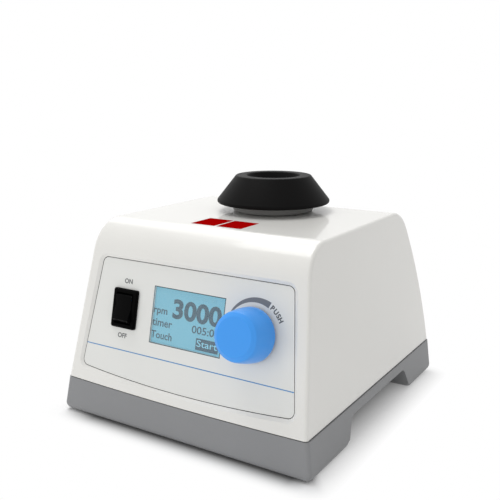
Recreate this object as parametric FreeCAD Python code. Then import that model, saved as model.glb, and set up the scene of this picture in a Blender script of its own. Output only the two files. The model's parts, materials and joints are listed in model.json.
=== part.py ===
import FreeCAD, Part
import math
import os
from FreeCAD import Placement, Rotation, Vector

# A bench vortex mixer with a touch-free sensor, in millimetres and degrees.
# Origin: middle of the overall width and depth, on the table. +X right, -Y front, +Z up.

# Case
case_width = 153.4          # across the underside of the base
case_depth = 164.2          # front to rear, underside of the base
foot_lift = 0.5             # underside of the base above the table
seam_z = 19.6               # middle of the gap between base and shell
top_z = 104.5               # flat top of the shell
seam_gap = 0.5
seam_bow = 1.0              # seam hangs down in the middle of the front by this much
seam_inset = 3.4            # shell side at the seam is in from the base by this much
base_step = 0.6             # base stands out from the shell at the seam
seam_front_inset = 2.1      # front leans in by this much up to the seam
seam_rear_outset = 0.7
side_draft = 6.19
front_lean = 12.35
front_radius = 19.0
rear_radius = 20.0
rear_bow = 210.0            # radius of the bowed rear face
rear_lean = 7.5             # its lean at the seam
edge_radius = 1.8
shell_wall = 2.6
lip_clearance = 0.3
lip_thickness = 1.6
lip_height = 1.5
base_floor = 3.0
base_corner = 2.2
base_edge = 1.8

# Tunnel through the base
front_foot_depth = 41.2     # length of the feet, on the underside
rear_foot_depth = 37.0
tunnel_slope = 7.0          # each side leans in by this much
tunnel_roof_z = 14.5
tunnel_fillet = 4.5
roof_thickness = 2.5

# Rubber feet and case screws
pad_radius = 8.0
pad_sink = 1.5
pad_side_inset = 20.7       # pads and screws in from the edges of the base
pad_end_inset = 15.1
screw_side_inset = 18.7
screw_front_inset = 32.6
screw_rear_inset = 28.6
screw_radius = 1.6
screw_head_radius = 3.1
boss_radius = 5.4
boss_height = 25.0

# General clearances
fit_gap = 0.05              # pressed or glued pieces of one body
run_gap = 0.08              # turning fits
free_gap = 0.3              # between bodies

# Front panel, in face coordinates: x across, u up the leaning face, h out of it
panel_bottom_u = 8.2
panel_bow = 3.2
panel_top_margin = 3.6      # below the start of the front rounding
panel_side_bottom = 6.9     # white border beside the panel
panel_side_top = 8.1
panel_corner = 3.6
panel_sink = 1.1
panel_thickness = 2.0
panel_gap = 0.35
bevel_width = 1.7
ledge_width = 3.4
ledge_thickness = 2.2
row_above_panel_foot = 34.2 # switch, display and knob share this line

# Power switch
switch_inset = 21.8         # switch in from the side of the panel
switch_bezel = (16.0, 20.6)
switch_bezel_proud = 1.9
switch_body_size = (13.4, 18.6)
switch_body_depth = 15.0
rocker_radius = 7.9
rocker_width = 10.6
rocker_tilt = 9.0
rocker_pivot_depth = 3.1    # pivot below the face of the bezel
trunnion_radius = 1.2
blade_width = 4.8
blade_thickness = 0.8
blade_length = 7.0
blade_pitch = 5.2

# Display
display_size = (43.0, 28.5)
display_thickness = 0.8
lcd_thickness = 2.2
lcd_frame_margin = 3.3
lcd_frame_depth = 5.6
lcd_frame_wall = 0.8

# Knob and encoder
knob_inset = 22.8           # knob in from the side of the panel
knob_radius = 13.2
knob_length = 15.0
knob_taper = 1.3            # narrower at the front by this much
knob_bevel = 1.2
knob_lift = 1.4             # skirt above the panel
knob_push = 0.6
knob_bore_radius = 9.5
knob_hollow = 4.0
bush_radius = 3.5
nut_radius = 5.6
nut_height = 2.0
shaft_radius = 3.0
encoder_size = 12.4
encoder_height = 7.0
plunger_radius = 2.0
plunger_length = 2.4
board_depth = 17.4          # front of the control board below the face
board_thickness = 1.6
board_past_blades = 3.0     # left end of the board from the switch's blades
board_past_knob = 15.5
standoff_inset = 4.0
standoff_radius = 2.0
standoff_gap = 0.2          # between the display's frame and the standoffs

# Sensor in the top
window_size = (14.9, 18.2)
window_split = 1.2
window_setback = 11.0       # middle of the windows behind the front rounding
window_flange = 2.0
window_flange_height = 1.4
sensor_drop = 9.0           # board below the inside of the top
sensor_board_size = (50.0, 22.0)
sensor_post_x = 21.0
led_radius = 2.5
led_height = 6.4

# Mixing head
head_y = 14.9               # axis of the cup at rest
orbit_radius = 2.25
neck_hole_radius = 14.6      # hole in the top that the neck moves in
hole_ring_width = 3.0       # thicker ring under the top around that hole
hole_ring_depth = 6.0
disc_lift = 0.5             # light disc under the cup, above the top
disc_radius = 23.8
disc_foot_radius = 23.0
cup_lift = 4.5              # underside of the cup above the top
cup_height = 16.0
cup_radius = 32.0
cup_rim_radius = 21.4
cup_mouth_radius = 15.4
cup_floor = 3.4
flange_radius = 18.0
flange_thickness = 2.7
neck_radius = 10.0
neck_drop = 14.5            # neck reaches this far below the top
pin_radius = 4.0
bearing_radius = 8.0
bearing_width = 5.0

# Drive
crank_radius = 10.0
crank_height = 12.0
crank_under_neck = 1.5
weight_radius = 22.0
weight_height = 8.0
plate_under_crank = 3.5
plate_size = (92.0, 52.0)
plate_thickness = 3.0
motor_radius = 26.0
motor_wall = 1.8
motor_cap = 3.4
motor_above_roof = 6.0
motor_shaft_radius = 3.0
rotor_radius = 15.0
magnet_thickness = 6.0
motor_bearing_radius = 8.0
motor_screw_circle = 17.0
post_x = 40.0
post_spread = 17.5
post_radius = 4.0
isolator_radius = 6.5
isolator_height = 5.0

# Mains inlet and supply
inlet_recess_size = (38.0, 36.0)
inlet_recess_wall = 2.4
inlet_sink = 10.5           # flat of the recess in from the seam's rear
inlet_flange = (33.0, 31.5)
inlet_flange_thickness = 2.4
inlet_body = (28.0, 28.0)
inlet_depth = 20.0
socket_size = (24.6, 16.6)
socket_depth = 16.0
socket_corner = 5.0
socket_up = 5.2
pin_width = 2.0
pin_height = 4.0
pin_pitch = 7.0
pin_offset = 2.0            # outer pins below and middle pin above the centre
pin_length = 13.0
pin_tail = 4.0
drawer_size = (20.0, 7.0)
drawer_down = 9.2
supply_depth = 27.0
supply_rear_inset = 7.1
supply_side_inset = 27.7
supply_lift = 4.5
pillar_radius = 3.2
pillar_inset = 4.0
supply_thickness = 1.6
supply_screw_radius = 1.3
transformer_core = (18.0, 16.0, 14.0)
transformer_coil = (14.0, 22.0, 10.0)
transformer_inset = 20.0    # transformer and heat sink in from the ends of the board
capacitor_radius = 5.0
capacitor_height = 11.0
capacitor_pitch = 10.6
capacitor_x = -1.0
sink_size = (24.0, 18.0, 11.0)
sink_inset = 19.0
sink_plate = 3.0
fin_count = 5
fin_thickness = 1.6


def block(x0, x1, y0, y1, z0, z1):
    return Part.makeBox(x1 - x0, y1 - y0, z1 - z0, Vector(x0, y0, z0))


def rounded_block(x0, x1, y0, y1, z0, z1, radius):
    solid = block(x0, x1, y0, y1, z0, z1)
    upright = [e for e in solid.Edges if abs(e.BoundBox.ZLength - (z1 - z0)) < 1e-6]
    return solid.makeFillet(radius, upright)


def rod(radius, z0, z1, x=0.0, y=0.0):
    return Part.makeCylinder(radius, z1 - z0, Vector(x, y, z0))


def ring(outer, inner, z0, z1, x=0.0, y=0.0):
    return rod(outer, z0, z1, x, y).cut(rod(inner, z0 - 1.0, z1 + 1.0, x, y))


def lathe(points, x=0.0, y=0.0):
    """Turn a closed outline of (radius, height) points about an upright axis."""
    corners = [Vector(x + r, y, z) for r, z in points]
    face = Part.Face(Part.makePolygon(corners + [corners[0]]))
    return face.revolve(Vector(x, y, 0), Vector(0, 0, 1), 360)


def joined(shapes):
    """Fuse a list of shapes into one solid."""
    result = shapes[0].multiFuse(shapes[1:]) if len(shapes) > 1 else shapes[0]
    return result.removeSplitter()


def save(name, shape):
    """Write one node; several loose solids of a kind go in as a compound."""
    solids = shape.Solids
    whole = solids[0] if len(solids) == 1 else Part.makeCompound(solids)
    whole.translate(Vector(0, overall_shift, 0))
    whole.exportStep("parts/" + name + ".step")


# Derived places
seam_front = case_depth / 2 - seam_front_inset
seam_rear = case_depth / 2 + seam_rear_outset
DRAFT = math.tan(math.radians(side_draft))
LEAN = math.tan(math.radians(front_lean))
LEAN_COS = math.cos(math.radians(front_lean))
LEAN_SIN = math.sin(math.radians(front_lean))
FRONT = Placement(Vector(0, -seam_front, seam_z), Rotation(Vector(1, 0, 0), 90 - front_lean))
seam_half = case_width / 2 - seam_inset
shell_foot = seam_z + seam_gap / 2
base_top = seam_z - seam_gap / 2
lip_inset = shell_wall + lip_clearance
base_wall = lip_inset + lip_thickness
floor_top = foot_lift + base_floor
roof_top = tunnel_roof_z + roof_thickness
inside_top = top_z - shell_wall
round_start_z = top_z - front_radius * (1 - LEAN_SIN)
front_flat = (round_start_z - seam_z) / LEAN_COS
panel_top_u = front_flat - panel_top_margin
panel_face = -panel_sink
panel_back = panel_face - panel_thickness
row_u = panel_bottom_u + row_above_panel_foot
cup_under = top_z + cup_lift
cup_top = cup_under + cup_height
motor_y = head_y - orbit_radius
neck_foot = top_z - neck_drop
crank_top = neck_foot - crank_under_neck
crank_foot = crank_top - crank_height
plate_top = crank_foot - plate_under_crank
plate_foot = plate_top - plate_thickness
motor_foot = roof_top + motor_above_roof
inlet_z = shell_foot + lip_height + free_gap + inlet_recess_wall + inlet_recess_size[1] / 2
inlet_face = seam_rear - inlet_sink
tunnel_front = -case_depth / 2 + front_foot_depth
tunnel_rear = case_depth / 2 - rear_foot_depth
pad_x = case_width / 2 - pad_side_inset
pad_y = case_depth / 2 - pad_end_inset
screw_x = case_width / 2 - screw_side_inset
screw_y = (screw_front_inset - case_depth / 2, case_depth / 2 - screw_rear_inset)
roof_front_y = -seam_front + (top_z - front_radius - seam_z) * LEAN + front_radius / LEAN_COS
window_y = roof_front_y + window_setback
supply_half_width = case_width / 2 - supply_side_inset
transformer_x = transformer_inset - supply_half_width
sink_x = supply_half_width - sink_inset
supply_rear = case_depth / 2 - supply_rear_inset
supply_y = (supply_rear - supply_depth, supply_rear)
supply_foot = floor_top + supply_lift
supply_top = supply_foot + supply_thickness

# The knob reaches further forward than the base and takes part in the overall depth.
knob_front_h = panel_face + knob_lift + knob_length
knob_rim_radius = knob_radius - knob_taper - knob_bevel
front_reach = seam_front - row_u * LEAN_SIN + knob_front_h * LEAN_COS + knob_rim_radius * LEAN_SIN
overall_shift = (front_reach - seam_rear) / 2


def on_front(shape):
    """Carry a shape from face coordinates to its place on the leaning front."""
    return shape.transformed(FRONT.toMatrix())


def half_width(z, inset=0.0):
    """Half the width of the shell at a height."""
    return seam_half - (z - seam_z) * DRAFT - inset / math.cos(math.radians(side_draft))


def face_half_width(u):
    return half_width(seam_z + u * LEAN_COS)


panel_row_half = face_half_width(row_u) - (panel_side_bottom + panel_side_top) / 2
switch_x = switch_inset - panel_row_half
knob_x = panel_row_half - knob_inset
board_x = (switch_x + blade_width / 2 + board_past_blades, knob_x + board_past_knob)
standoff_x = (board_x[0] + standoff_inset, board_x[1] - standoff_inset)
standoff_up = display_size[1] / 2 + lcd_frame_margin + standoff_radius + standoff_gap


def side_profile(inset, z_low):
    """Side view of the shell, moved in by a wall thickness, down to z_low."""
    lean = math.radians(front_lean)
    roof = top_z - inset

    front_c = Vector(0, 0, top_z - front_radius)
    front_c.y = -seam_front + (front_c.z - seam_z) * LEAN + front_radius / LEAN_COS
    front_r = front_radius - inset
    front_t = front_c + Vector(0, -math.cos(lean), math.sin(lean)) * front_r
    front_turn = (math.pi / 2 + math.pi - lean) / 2
    front_m = front_c + Vector(0, math.cos(front_turn), math.sin(front_turn)) * front_r
    front_low = Vector(0, -seam_front + (z_low - seam_z) * LEAN + inset / LEAN_COS, z_low)

    start = math.radians(rear_lean)
    bow_c = Vector(0, seam_rear - rear_bow * math.cos(start), seam_z - rear_bow * math.sin(start))
    bow_r = rear_bow - inset
    rear_c = Vector(0, 0, top_z - rear_radius)
    reach = rear_bow - rear_radius
    rear_c.y = bow_c.y + math.sqrt(reach ** 2 - (rear_c.z - bow_c.z) ** 2)
    rear_r = rear_radius - inset
    turn_high = math.asin((rear_c.z - bow_c.z) / reach)
    turn_low = math.asin((z_low - bow_c.z) / bow_r)

    def on_bow(turn):
        return bow_c + Vector(0, math.cos(turn), math.sin(turn)) * bow_r

    turn_mid = (turn_high + math.pi / 2) / 2
    rear_m = rear_c + Vector(0, math.cos(turn_mid), math.sin(turn_mid)) * rear_r
    roof_front = Vector(0, front_c.y, roof)
    roof_rear = Vector(0, rear_c.y, roof)
    rear_t = on_bow(turn_high)
    rear_low = on_bow(turn_low)
    edges = [
        Part.makeLine(front_low, front_t),
        Part.Arc(front_t, front_m, roof_front).toShape(),
        Part.makeLine(roof_front, roof_rear),
        Part.Arc(roof_rear, rear_m, rear_t).toShape(),
        Part.Arc(rear_t, on_bow((turn_high + turn_low) / 2), rear_low).toShape(),
        Part.makeLine(rear_low, front_low),
    ]
    return Part.Wire(edges)


def case_solid(inset, z_low):
    """Solid inside the shell's skin, moved in by a wall thickness."""
    reach = case_width
    side = Part.Face(side_profile(inset, z_low))
    side.translate(Vector(-reach, 0, 0))
    along = side.extrude(Vector(2 * reach, 0, 0))
    high = top_z + 5
    low = z_low - 5
    outline = [
        Vector(-half_width(low, inset), -case_depth, low),
        Vector(half_width(low, inset), -case_depth, low),
        Vector(half_width(high, inset), -case_depth, high),
        Vector(-half_width(high, inset), -case_depth, high),
    ]
    across = Part.Face(Part.makePolygon(outline + [outline[0]]))
    return along.common(across.extrude(Vector(0, 2 * case_depth, 0)))


def side_edges(solid, z_low):
    """Edges where the sides meet the front, top and rear."""
    found = []
    for edge in solid.Edges:
        mid = edge.valueAt((edge.FirstParameter + edge.LastParameter) / 2)
        if mid.z < z_low + 0.01:
            continue
        if abs(abs(mid.x) - half_width(mid.z)) < 0.01:
            found.append(edge)
    return found


def panel_outline(grow, h):
    """Rounded wire of the control panel, grown by a margin, at a height."""
    top = panel_top_u + grow
    foot = panel_bottom_u - grow
    top_half = face_half_width(panel_top_u) - panel_side_top + grow
    foot_half = face_half_width(panel_bottom_u) - panel_side_bottom + grow
    corners = [
        Vector(-foot_half, foot, h),
        Vector(foot_half, foot, h),
        Vector(top_half, top, h),
        Vector(-top_half, top, h),
    ]
    edges = [
        Part.Arc(corners[0], Vector(0, foot - panel_bow, h), corners[1]).toShape(),
        Part.makeLine(corners[1], corners[2]),
        Part.makeLine(corners[2], corners[3]),
        Part.makeLine(corners[3], corners[0]),
    ]
    prism = Part.Face(Part.Wire(edges)).extrude(Vector(0, 0, 1))
    upright = [e for e in prism.Edges if abs(e.BoundBox.ZLength - 1) < 1e-6]
    prism = prism.makeFillet(panel_corner + max(grow, -2.0), upright)
    foot_face = [f for f in prism.Faces if abs(f.CenterOfMass.z - h) < 1e-6][0]
    return foot_face.OuterWire


def panel_prism(grow, h0, h1):
    return Part.Face(panel_outline(grow, h0)).extrude(Vector(0, 0, h1 - h0))


def base_block(inset, z0, z1):
    """Tapered block of the base between two heights, moved in by a wall."""
    half = case_width / 2
    depth = case_depth / 2
    span = seam_z - foot_lift

    def rectangle(z):
        t = (z - foot_lift) / span
        x = half - (seam_inset - base_step) * t - inset
        front = -depth + (depth - seam_front) * t + inset
        rear = depth + (seam_rear - depth) * t - inset
        points = [Vector(-x, front, z), Vector(x, front, z), Vector(x, rear, z), Vector(-x, rear, z)]
        return Part.makePolygon(points + [points[0]])

    return Part.makeLoft([rectangle(z0), rectangle(z1)], True, True)


def tunnel(grow):
    """Prism of the passage through the base between its feet."""
    low = foot_lift - 6.0
    roof = tunnel_roof_z + grow
    lean = tunnel_slope / (tunnel_roof_z - foot_lift)
    drop = (roof - low) * lean
    front = tunnel_front + tunnel_slope - grow
    rear = tunnel_rear - tunnel_slope + grow
    reach = case_width
    points = [
        Vector(-reach, front - drop, low),
        Vector(-reach, rear + drop, low),
        Vector(-reach, rear, roof),
        Vector(-reach, front, roof),
    ]
    prism = Part.Face(Part.makePolygon(points + [points[0]])).extrude(Vector(2 * reach, 0, 0))
    upper = [e for e in prism.Edges if abs(e.CenterOfMass.z - roof) < 1e-6 and e.BoundBox.XLength > reach]
    return prism.makeFillet(tunnel_fillet + grow, upper)


def screw_places():
    return [(x, y) for x in (-screw_x, screw_x) for y in screw_y]


def under_seam(z):
    """Everything below the bowed seam, whose ends are at the given height."""
    reach = case_width
    ends = [Vector(-reach, -case_depth, z), Vector(-seam_half, -case_depth, z)]
    ends += [Vector(seam_half, -case_depth, z), Vector(reach, -case_depth, z)]
    deep = [Vector(reach, -case_depth, z - reach), Vector(-reach, -case_depth, z - reach)]
    edges = [
        Part.makeLine(ends[0], ends[1]),
        Part.Arc(ends[1], Vector(0, -case_depth, z - seam_bow), ends[2]).toShape(),
        Part.makeLine(ends[2], ends[3]),
        Part.makeLine(ends[3], deep[0]),
        Part.makeLine(deep[0], deep[1]),
        Part.makeLine(deep[1], ends[0]),
    ]
    return Part.Face(Part.Wire(edges)).extrude(Vector(0, 2 * case_depth, 0))


def build_base():
    body = base_block(0.0, foot_lift, base_top)
    upright = [e for e in body.Edges if e.BoundBox.ZLength > 1]
    body = body.makeFillet(base_corner, upright)
    under = [e for e in body.Edges if e.BoundBox.ZMax < foot_lift + 0.01]
    body = body.makeFillet(base_edge, under).common(under_seam(base_top))
    body = body.cut(tunnel(0.0))
    cavity = base_block(base_wall, floor_top, base_top + 1).cut(tunnel(roof_thickness))
    body = body.cut(cavity)

    low = base_top - seam_bow - 0.5
    slab = block(-case_width, case_width, -case_depth, case_depth, low, shell_foot + lip_height)
    lip = case_solid(lip_inset, low - 1).cut(case_solid(base_wall, low - 2)).common(slab)
    pieces = [body, lip]
    for x, y in screw_places():
        pieces.append(rod(boss_radius, floor_top - 0.5, base_top, x, y))
    for x, y in supply_screw_places():
        pieces.append(rod(pillar_radius, floor_top - 0.5, supply_foot - fit_gap, x, y))
    body = joined(pieces)
    for x, y in screw_places():
        body = body.cut(rod(screw_radius + 0.2, foot_lift - 1, base_top + 1, x, y))
        body = body.cut(rod(screw_head_radius + 0.4, foot_lift - 1, floor_top + 3, x, y))
    for x, y in supply_screw_places():
        body = body.cut(rod(supply_screw_radius + fit_gap, floor_top, supply_foot + 1, x, y))
    for x, y in pad_places():
        body = body.cut(rod(pad_radius + fit_gap, foot_lift - 1, foot_lift + pad_sink, x, y))
    return body


def pad_places():
    return [(x, y) for x in (-pad_x, pad_x) for y in (-pad_y, pad_y)]


def build_pads():
    high = foot_lift + pad_sink - fit_gap
    bevel = foot_lift * 0.8
    points = [(0, 0), (pad_radius - bevel, 0), (pad_radius, bevel), (pad_radius, high), (0, high)]
    return Part.makeCompound([lathe(points, x, y) for x, y in pad_places()])


def build_case_screws():
    head_top = floor_top + 3 - fit_gap
    screws = []
    for x, y in screw_places():
        head = rod(screw_head_radius, head_top - 2.4, head_top, x, y)
        slot = block(x - 2.2, x + 2.2, y - 0.4, y + 0.4, head_top - 3, head_top - 1.4)
        shank = rod(screw_radius, head_top - 0.1, shell_foot + 12, x, y)
        screws.append(head.fuse(shank).cut(slot))
    return Part.makeCompound(screws)


def shell_bosses():
    """Columns for the case screws, tied to the side walls by ribs."""
    high = shell_foot + boss_height
    pieces = []
    for x, y in screw_places():
        side = math.copysign(1, x)
        wall = half_width(high, shell_wall) + 1
        near, far = sorted((x, side * wall))
        rib = block(near, far, y - 1.2, y + 1.2, shell_foot + lip_height + 1, high)
        pieces += [rod(boss_radius - 0.9, shell_foot, high, x, y), rib]
    return pieces


def window_boxes(grow, z0, z1):
    """The two sensor windows side by side, grown by a clearance."""
    boxes = []
    for side in (-1, 1):
        near = side * (window_split / 2 - grow)
        far = side * (window_split / 2 + window_size[0] + grow)
        front = window_y - window_size[1] / 2 - grow
        rear = window_y + window_size[1] / 2 + grow
        boxes.append(rounded_block(min(near, far), max(near, far), front, rear, z0, z1, 0.6))
    return boxes


def sensor_posts(z0, z1, radius):
    return [rod(radius, z0, z1, x, window_y) for x in (-sensor_post_x, sensor_post_x)]


def inlet_box(size, y0, y1):
    """Upright rectangle behind the case, centred on the mains inlet."""
    half = size[0] / 2
    return block(-half, half, y0, y1, inlet_z - size[1] / 2, inlet_z + size[1] / 2)


def build_shell():
    low = shell_foot - seam_bow
    outer = case_solid(0.0, low)
    outer = outer.makeFillet(edge_radius, side_edges(outer, low)).cut(under_seam(shell_foot))
    inner = case_solid(shell_wall, low - 1)
    shell = outer.cut(inner)

    frame = panel_prism(1.5, panel_back - ledge_thickness - fit_gap, -shell_wall + 0.4)
    recess_size = [v + 2 * inlet_recess_wall for v in inlet_recess_size]
    recess = inlet_box(recess_size, inlet_face - inlet_recess_wall, case_depth).common(outer)
    hole_ring = rod(neck_hole_radius + hole_ring_width, inside_top - hole_ring_depth, top_z, 0, motor_y)
    posts = sensor_posts(inside_top - sensor_drop, inside_top + 0.5, 2.4)
    inside_bosses = [b.common(outer) for b in shell_bosses()]
    shell = joined([shell, on_front(frame).common(outer), recess, hole_ring] + posts + inside_bosses)

    bevel = Part.makeLoft([panel_outline(bevel_width, 0.02), panel_outline(0.0, panel_face)], True, True)
    pocket = panel_prism(0.0, panel_back - fit_gap, panel_face + 0.001)
    opening = panel_prism(-ledge_width, panel_back - ledge_thickness - 2, panel_back + 0.1)
    for tool in (bevel, pocket, opening):
        shell = shell.cut(on_front(tool))
    shell = shell.cut(rod(neck_hole_radius, inside_top - hole_ring_depth - 1, top_z + 1, 0, motor_y))
    for hole in window_boxes(fit_gap, inside_top - 1, top_z + 1):
        shell = shell.cut(hole)
    shell = shell.cut(inlet_box(inlet_recess_size, inlet_face, case_depth))
    body_hole = (inlet_body[0] + 2 * fit_gap, inlet_body[1] + 2 * fit_gap)
    shell = shell.cut(inlet_box(body_hole, inlet_face - 10, inlet_face + 1))
    for x, y in screw_places():
        shell = shell.cut(rod(screw_radius + fit_gap, shell_foot - 1, shell_foot + 14, x, y))
    for hole in sensor_posts(inside_top - sensor_drop - 1, inside_top - sensor_drop + 5, 1.0 + fit_gap):
        shell = shell.cut(hole)
    return shell


def build_panel():
    plate = panel_prism(-panel_gap, panel_back, panel_face)
    width, height = display_size
    plate = plate.cut(centred(0, width + 2 * fit_gap, height + 2 * fit_gap, panel_back - 1, 1))
    cut_width, cut_height = [v + 2 * fit_gap for v in switch_body_size]
    plate = plate.cut(centred(switch_x, cut_width, cut_height, panel_back - 1, 1))
    return plate.cut(rod(bush_radius + free_gap, panel_back - 1, 1, knob_x, row_u))


def centred(x, width, height, h0, h1):
    """Block in face coordinates, centred on the row of controls."""
    return block(x - width / 2, x + width / 2, row_u - height / 2, row_u + height / 2, h0, h1)


def build_display_window():
    return centred(0, display_size[0], display_size[1], panel_face - display_thickness, panel_face - fit_gap)


def build_lcd():
    """Liquid crystal cell and the pressed metal frame that carries it."""
    width, height = display_size
    front = panel_face - display_thickness - fit_gap
    back = front - lcd_thickness
    cell = centred(0, width - 2 * fit_gap, height - 2 * fit_gap, back, front)
    rim = panel_back - fit_gap
    margin = 2 * lcd_frame_margin
    frame = centred(0, width + margin, height + margin, rim - lcd_frame_depth, rim)
    frame = frame.cut(centred(0, width + 2 * fit_gap, height + 2 * fit_gap, back - fit_gap, 1))
    inside = margin - 2 * lcd_frame_wall
    hollow_front = min(back, rim) - lcd_frame_wall - fit_gap
    hollow = centred(0, width + inside, height + inside, rim - lcd_frame_depth - 1, hollow_front)
    return cell, frame.cut(hollow)


def build_switch():
    """Switch housing with its bezel, the rocker at rest and the terminals."""
    face = panel_face + switch_bezel_proud
    pivot_h = face - rocker_pivot_depth
    back = panel_face - switch_body_depth
    bezel = rounded_block(
        switch_x - switch_bezel[0] / 2, switch_x + switch_bezel[0] / 2,
        row_u - switch_bezel[1] / 2, row_u + switch_bezel[1] / 2,
        panel_face + fit_gap, face, 1.2)
    rim = [e for e in bezel.Edges if abs(e.CenterOfMass.z - face) < 1e-6]
    bezel = bezel.makeChamfer(0.7, rim)
    housing = bezel.fuse(centred(switch_x, switch_body_size[0], switch_body_size[1], back, panel_face + 0.1))
    well_height = 2 * (rocker_radius + free_gap)
    well_width = rocker_width + 2 * free_gap
    well = centred(switch_x, well_width, well_height, pivot_h - rocker_radius - 1, face + 1)
    axle_half = rocker_width / 2 + free_gap + 0.7

    def axle(radius, half):
        pin = rod(radius, -half, half)
        pin.rotate(Vector(0, 0, 0), Vector(0, 1, 0), 90)
        pin.translate(Vector(switch_x, row_u, pivot_h))
        return pin

    housing = housing.cut(well).cut(axle(trunnion_radius + run_gap, axle_half + 0.1)).removeSplitter()

    drum = axle(rocker_radius, rocker_width / 2)
    profile = [
        (-9, -3.5), (-3, -5.5), (3, -5.5), (9, -3.5),
        (9, 5.0), (6.0, 4.4), (0, 3.4), (-6.0, 4.4), (-9, 5.0),
    ]
    points = [Vector(switch_x - rocker_width, row_u + u, pivot_h + h) for u, h in profile]
    wedge = Part.Face(Part.makePolygon(points + [points[0]])).extrude(Vector(2 * rocker_width, 0, 0))
    rocker = drum.common(wedge).fuse(axle(trunnion_radius, axle_half)).removeSplitter()
    rocker.rotate(Vector(switch_x, row_u, pivot_h), Vector(1, 0, 0), -rocker_tilt)

    blades = []
    half = blade_width / 2
    for up in (-blade_pitch, 0.0, blade_pitch):
        foot = row_u + up - blade_thickness / 2
        ends = (back - blade_length, back - fit_gap)
        blades.append(block(switch_x - half, switch_x + half, foot, foot + blade_thickness, *ends))
    return housing, rocker, Part.makeCompound(blades)


def build_encoder():
    """Encoder housing with its bush, the nut, the shaft and the push plunger."""
    back = -board_depth + fit_gap
    front = back + encoder_height
    bush_top = panel_face + nut_height + 1.0
    half = encoder_size / 2
    housing = block(knob_x - half, knob_x + half, row_u - half, row_u + half, back, front)
    housing = housing.fuse(rod(bush_radius, front - 0.1, bush_top, knob_x, row_u))
    shaft_foot = back + 1.0 + knob_push + free_gap + plunger_length
    housing = housing.cut(rod(shaft_radius + run_gap, back + 1.0, bush_top + 1, knob_x, row_u))

    nut_outline = Part.makePolygon(hexagon(nut_radius, panel_face + fit_gap))
    nut = Part.Face(nut_outline).extrude(Vector(0, 0, nut_height))
    nut = nut.cut(rod(bush_radius + fit_gap, panel_face, bush_top, knob_x, row_u))
    shaft_top = panel_face + knob_lift + knob_length - 3.4
    shaft = rod(shaft_radius, shaft_foot + fit_gap, shaft_top, knob_x, row_u)
    flat = block(knob_x - 5, knob_x + 5, row_u + shaft_radius - 1.3, row_u + 5, bush_top + 1, shaft_top + 1)
    plunger = rod(plunger_radius, shaft_foot - plunger_length, shaft_foot, knob_x, row_u)
    return housing.removeSplitter(), nut, shaft.cut(flat), plunger, shaft_top


def hexagon(radius, h):
    points = []
    for step in range(7):
        turn = math.radians(60 * step)
        points.append(Vector(knob_x + radius * math.cos(turn), row_u + radius * math.sin(turn), h))
    return points


def build_knob(shaft_top):
    """Blue knob and the bush inside it that grips the shaft."""
    foot = panel_face + knob_lift
    top = foot + knob_length
    core = shaft_radius + 3.0
    outline = [
        (0, foot + knob_hollow), (knob_bore_radius, foot + knob_hollow), (knob_bore_radius, foot),
        (knob_radius - 0.4, foot), (knob_radius, foot + 0.5), (knob_radius, foot + 3.0),
        (knob_radius - 0.15 * knob_taper, foot + 6.0), (knob_radius - 0.5 * knob_taper, foot + 9.5),
        (knob_radius - knob_taper, top - 1.6), (knob_radius - knob_taper - 0.5, top - 0.5),
        (knob_radius - knob_taper - knob_bevel, top), (0, top),
    ]
    knob = lathe(outline, knob_x, row_u)
    knob = knob.cut(rod(core + fit_gap, foot, shaft_top + 1.4 + fit_gap, knob_x, row_u))
    bush = rod(core, foot + knob_hollow, shaft_top + 1.4, knob_x, row_u)
    bore = rod(shaft_radius + fit_gap, foot, shaft_top + fit_gap, knob_x, row_u)
    flat = block(knob_x - 5, knob_x + 5, row_u + shaft_radius - 1.3 + fit_gap, row_u + 5, foot, top)
    return knob, bush.cut(bore.cut(flat))


def build_control_board():
    """Circuit board behind the panel, its standoffs and screws."""
    front = -board_depth
    low = row_u - standoff_up - 3.0
    high = row_u + standoff_up + 3.0
    board = block(board_x[0], board_x[1], low, high, front - board_thickness, front)
    standoffs = []
    screws = []
    for x in standoff_x:
        for up in (-standoff_up, standoff_up):
            place = (x, row_u + up)
            board = board.cut(rod(1.3, front - 3, front + 1, *place))
            post = rod(standoff_radius, front + fit_gap, panel_back - fit_gap, *place)
            standoffs.append(post.cut(rod(1.1 + fit_gap, front, front + 6, *place)))
            head = front - board_thickness - fit_gap
            screws.append(rod(2.1, head - 1.6, head, *place).fuse(rod(1.1, head - 0.1, front + 5, *place)))
    return board, Part.makeCompound(standoffs), Part.makeCompound(screws)


def build_windows():
    """The two dark red windows, each with a flange under the top."""
    under = inside_top - window_flange_height
    windows = []
    for index, plug in enumerate(window_boxes(0.0, under, top_z - fit_gap)):
        side = -1 if index == 0 else 1
        near = side * window_split / 2
        far = side * (window_split / 2 + window_size[0] + window_flange)
        front = window_y - window_size[1] / 2 - window_flange
        rear = window_y + window_size[1] / 2 + window_flange
        flange = block(min(near, far), max(near, far), front, rear, under, inside_top - fit_gap)
        windows.append(plug.fuse(flange).removeSplitter())
    return windows


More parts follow.
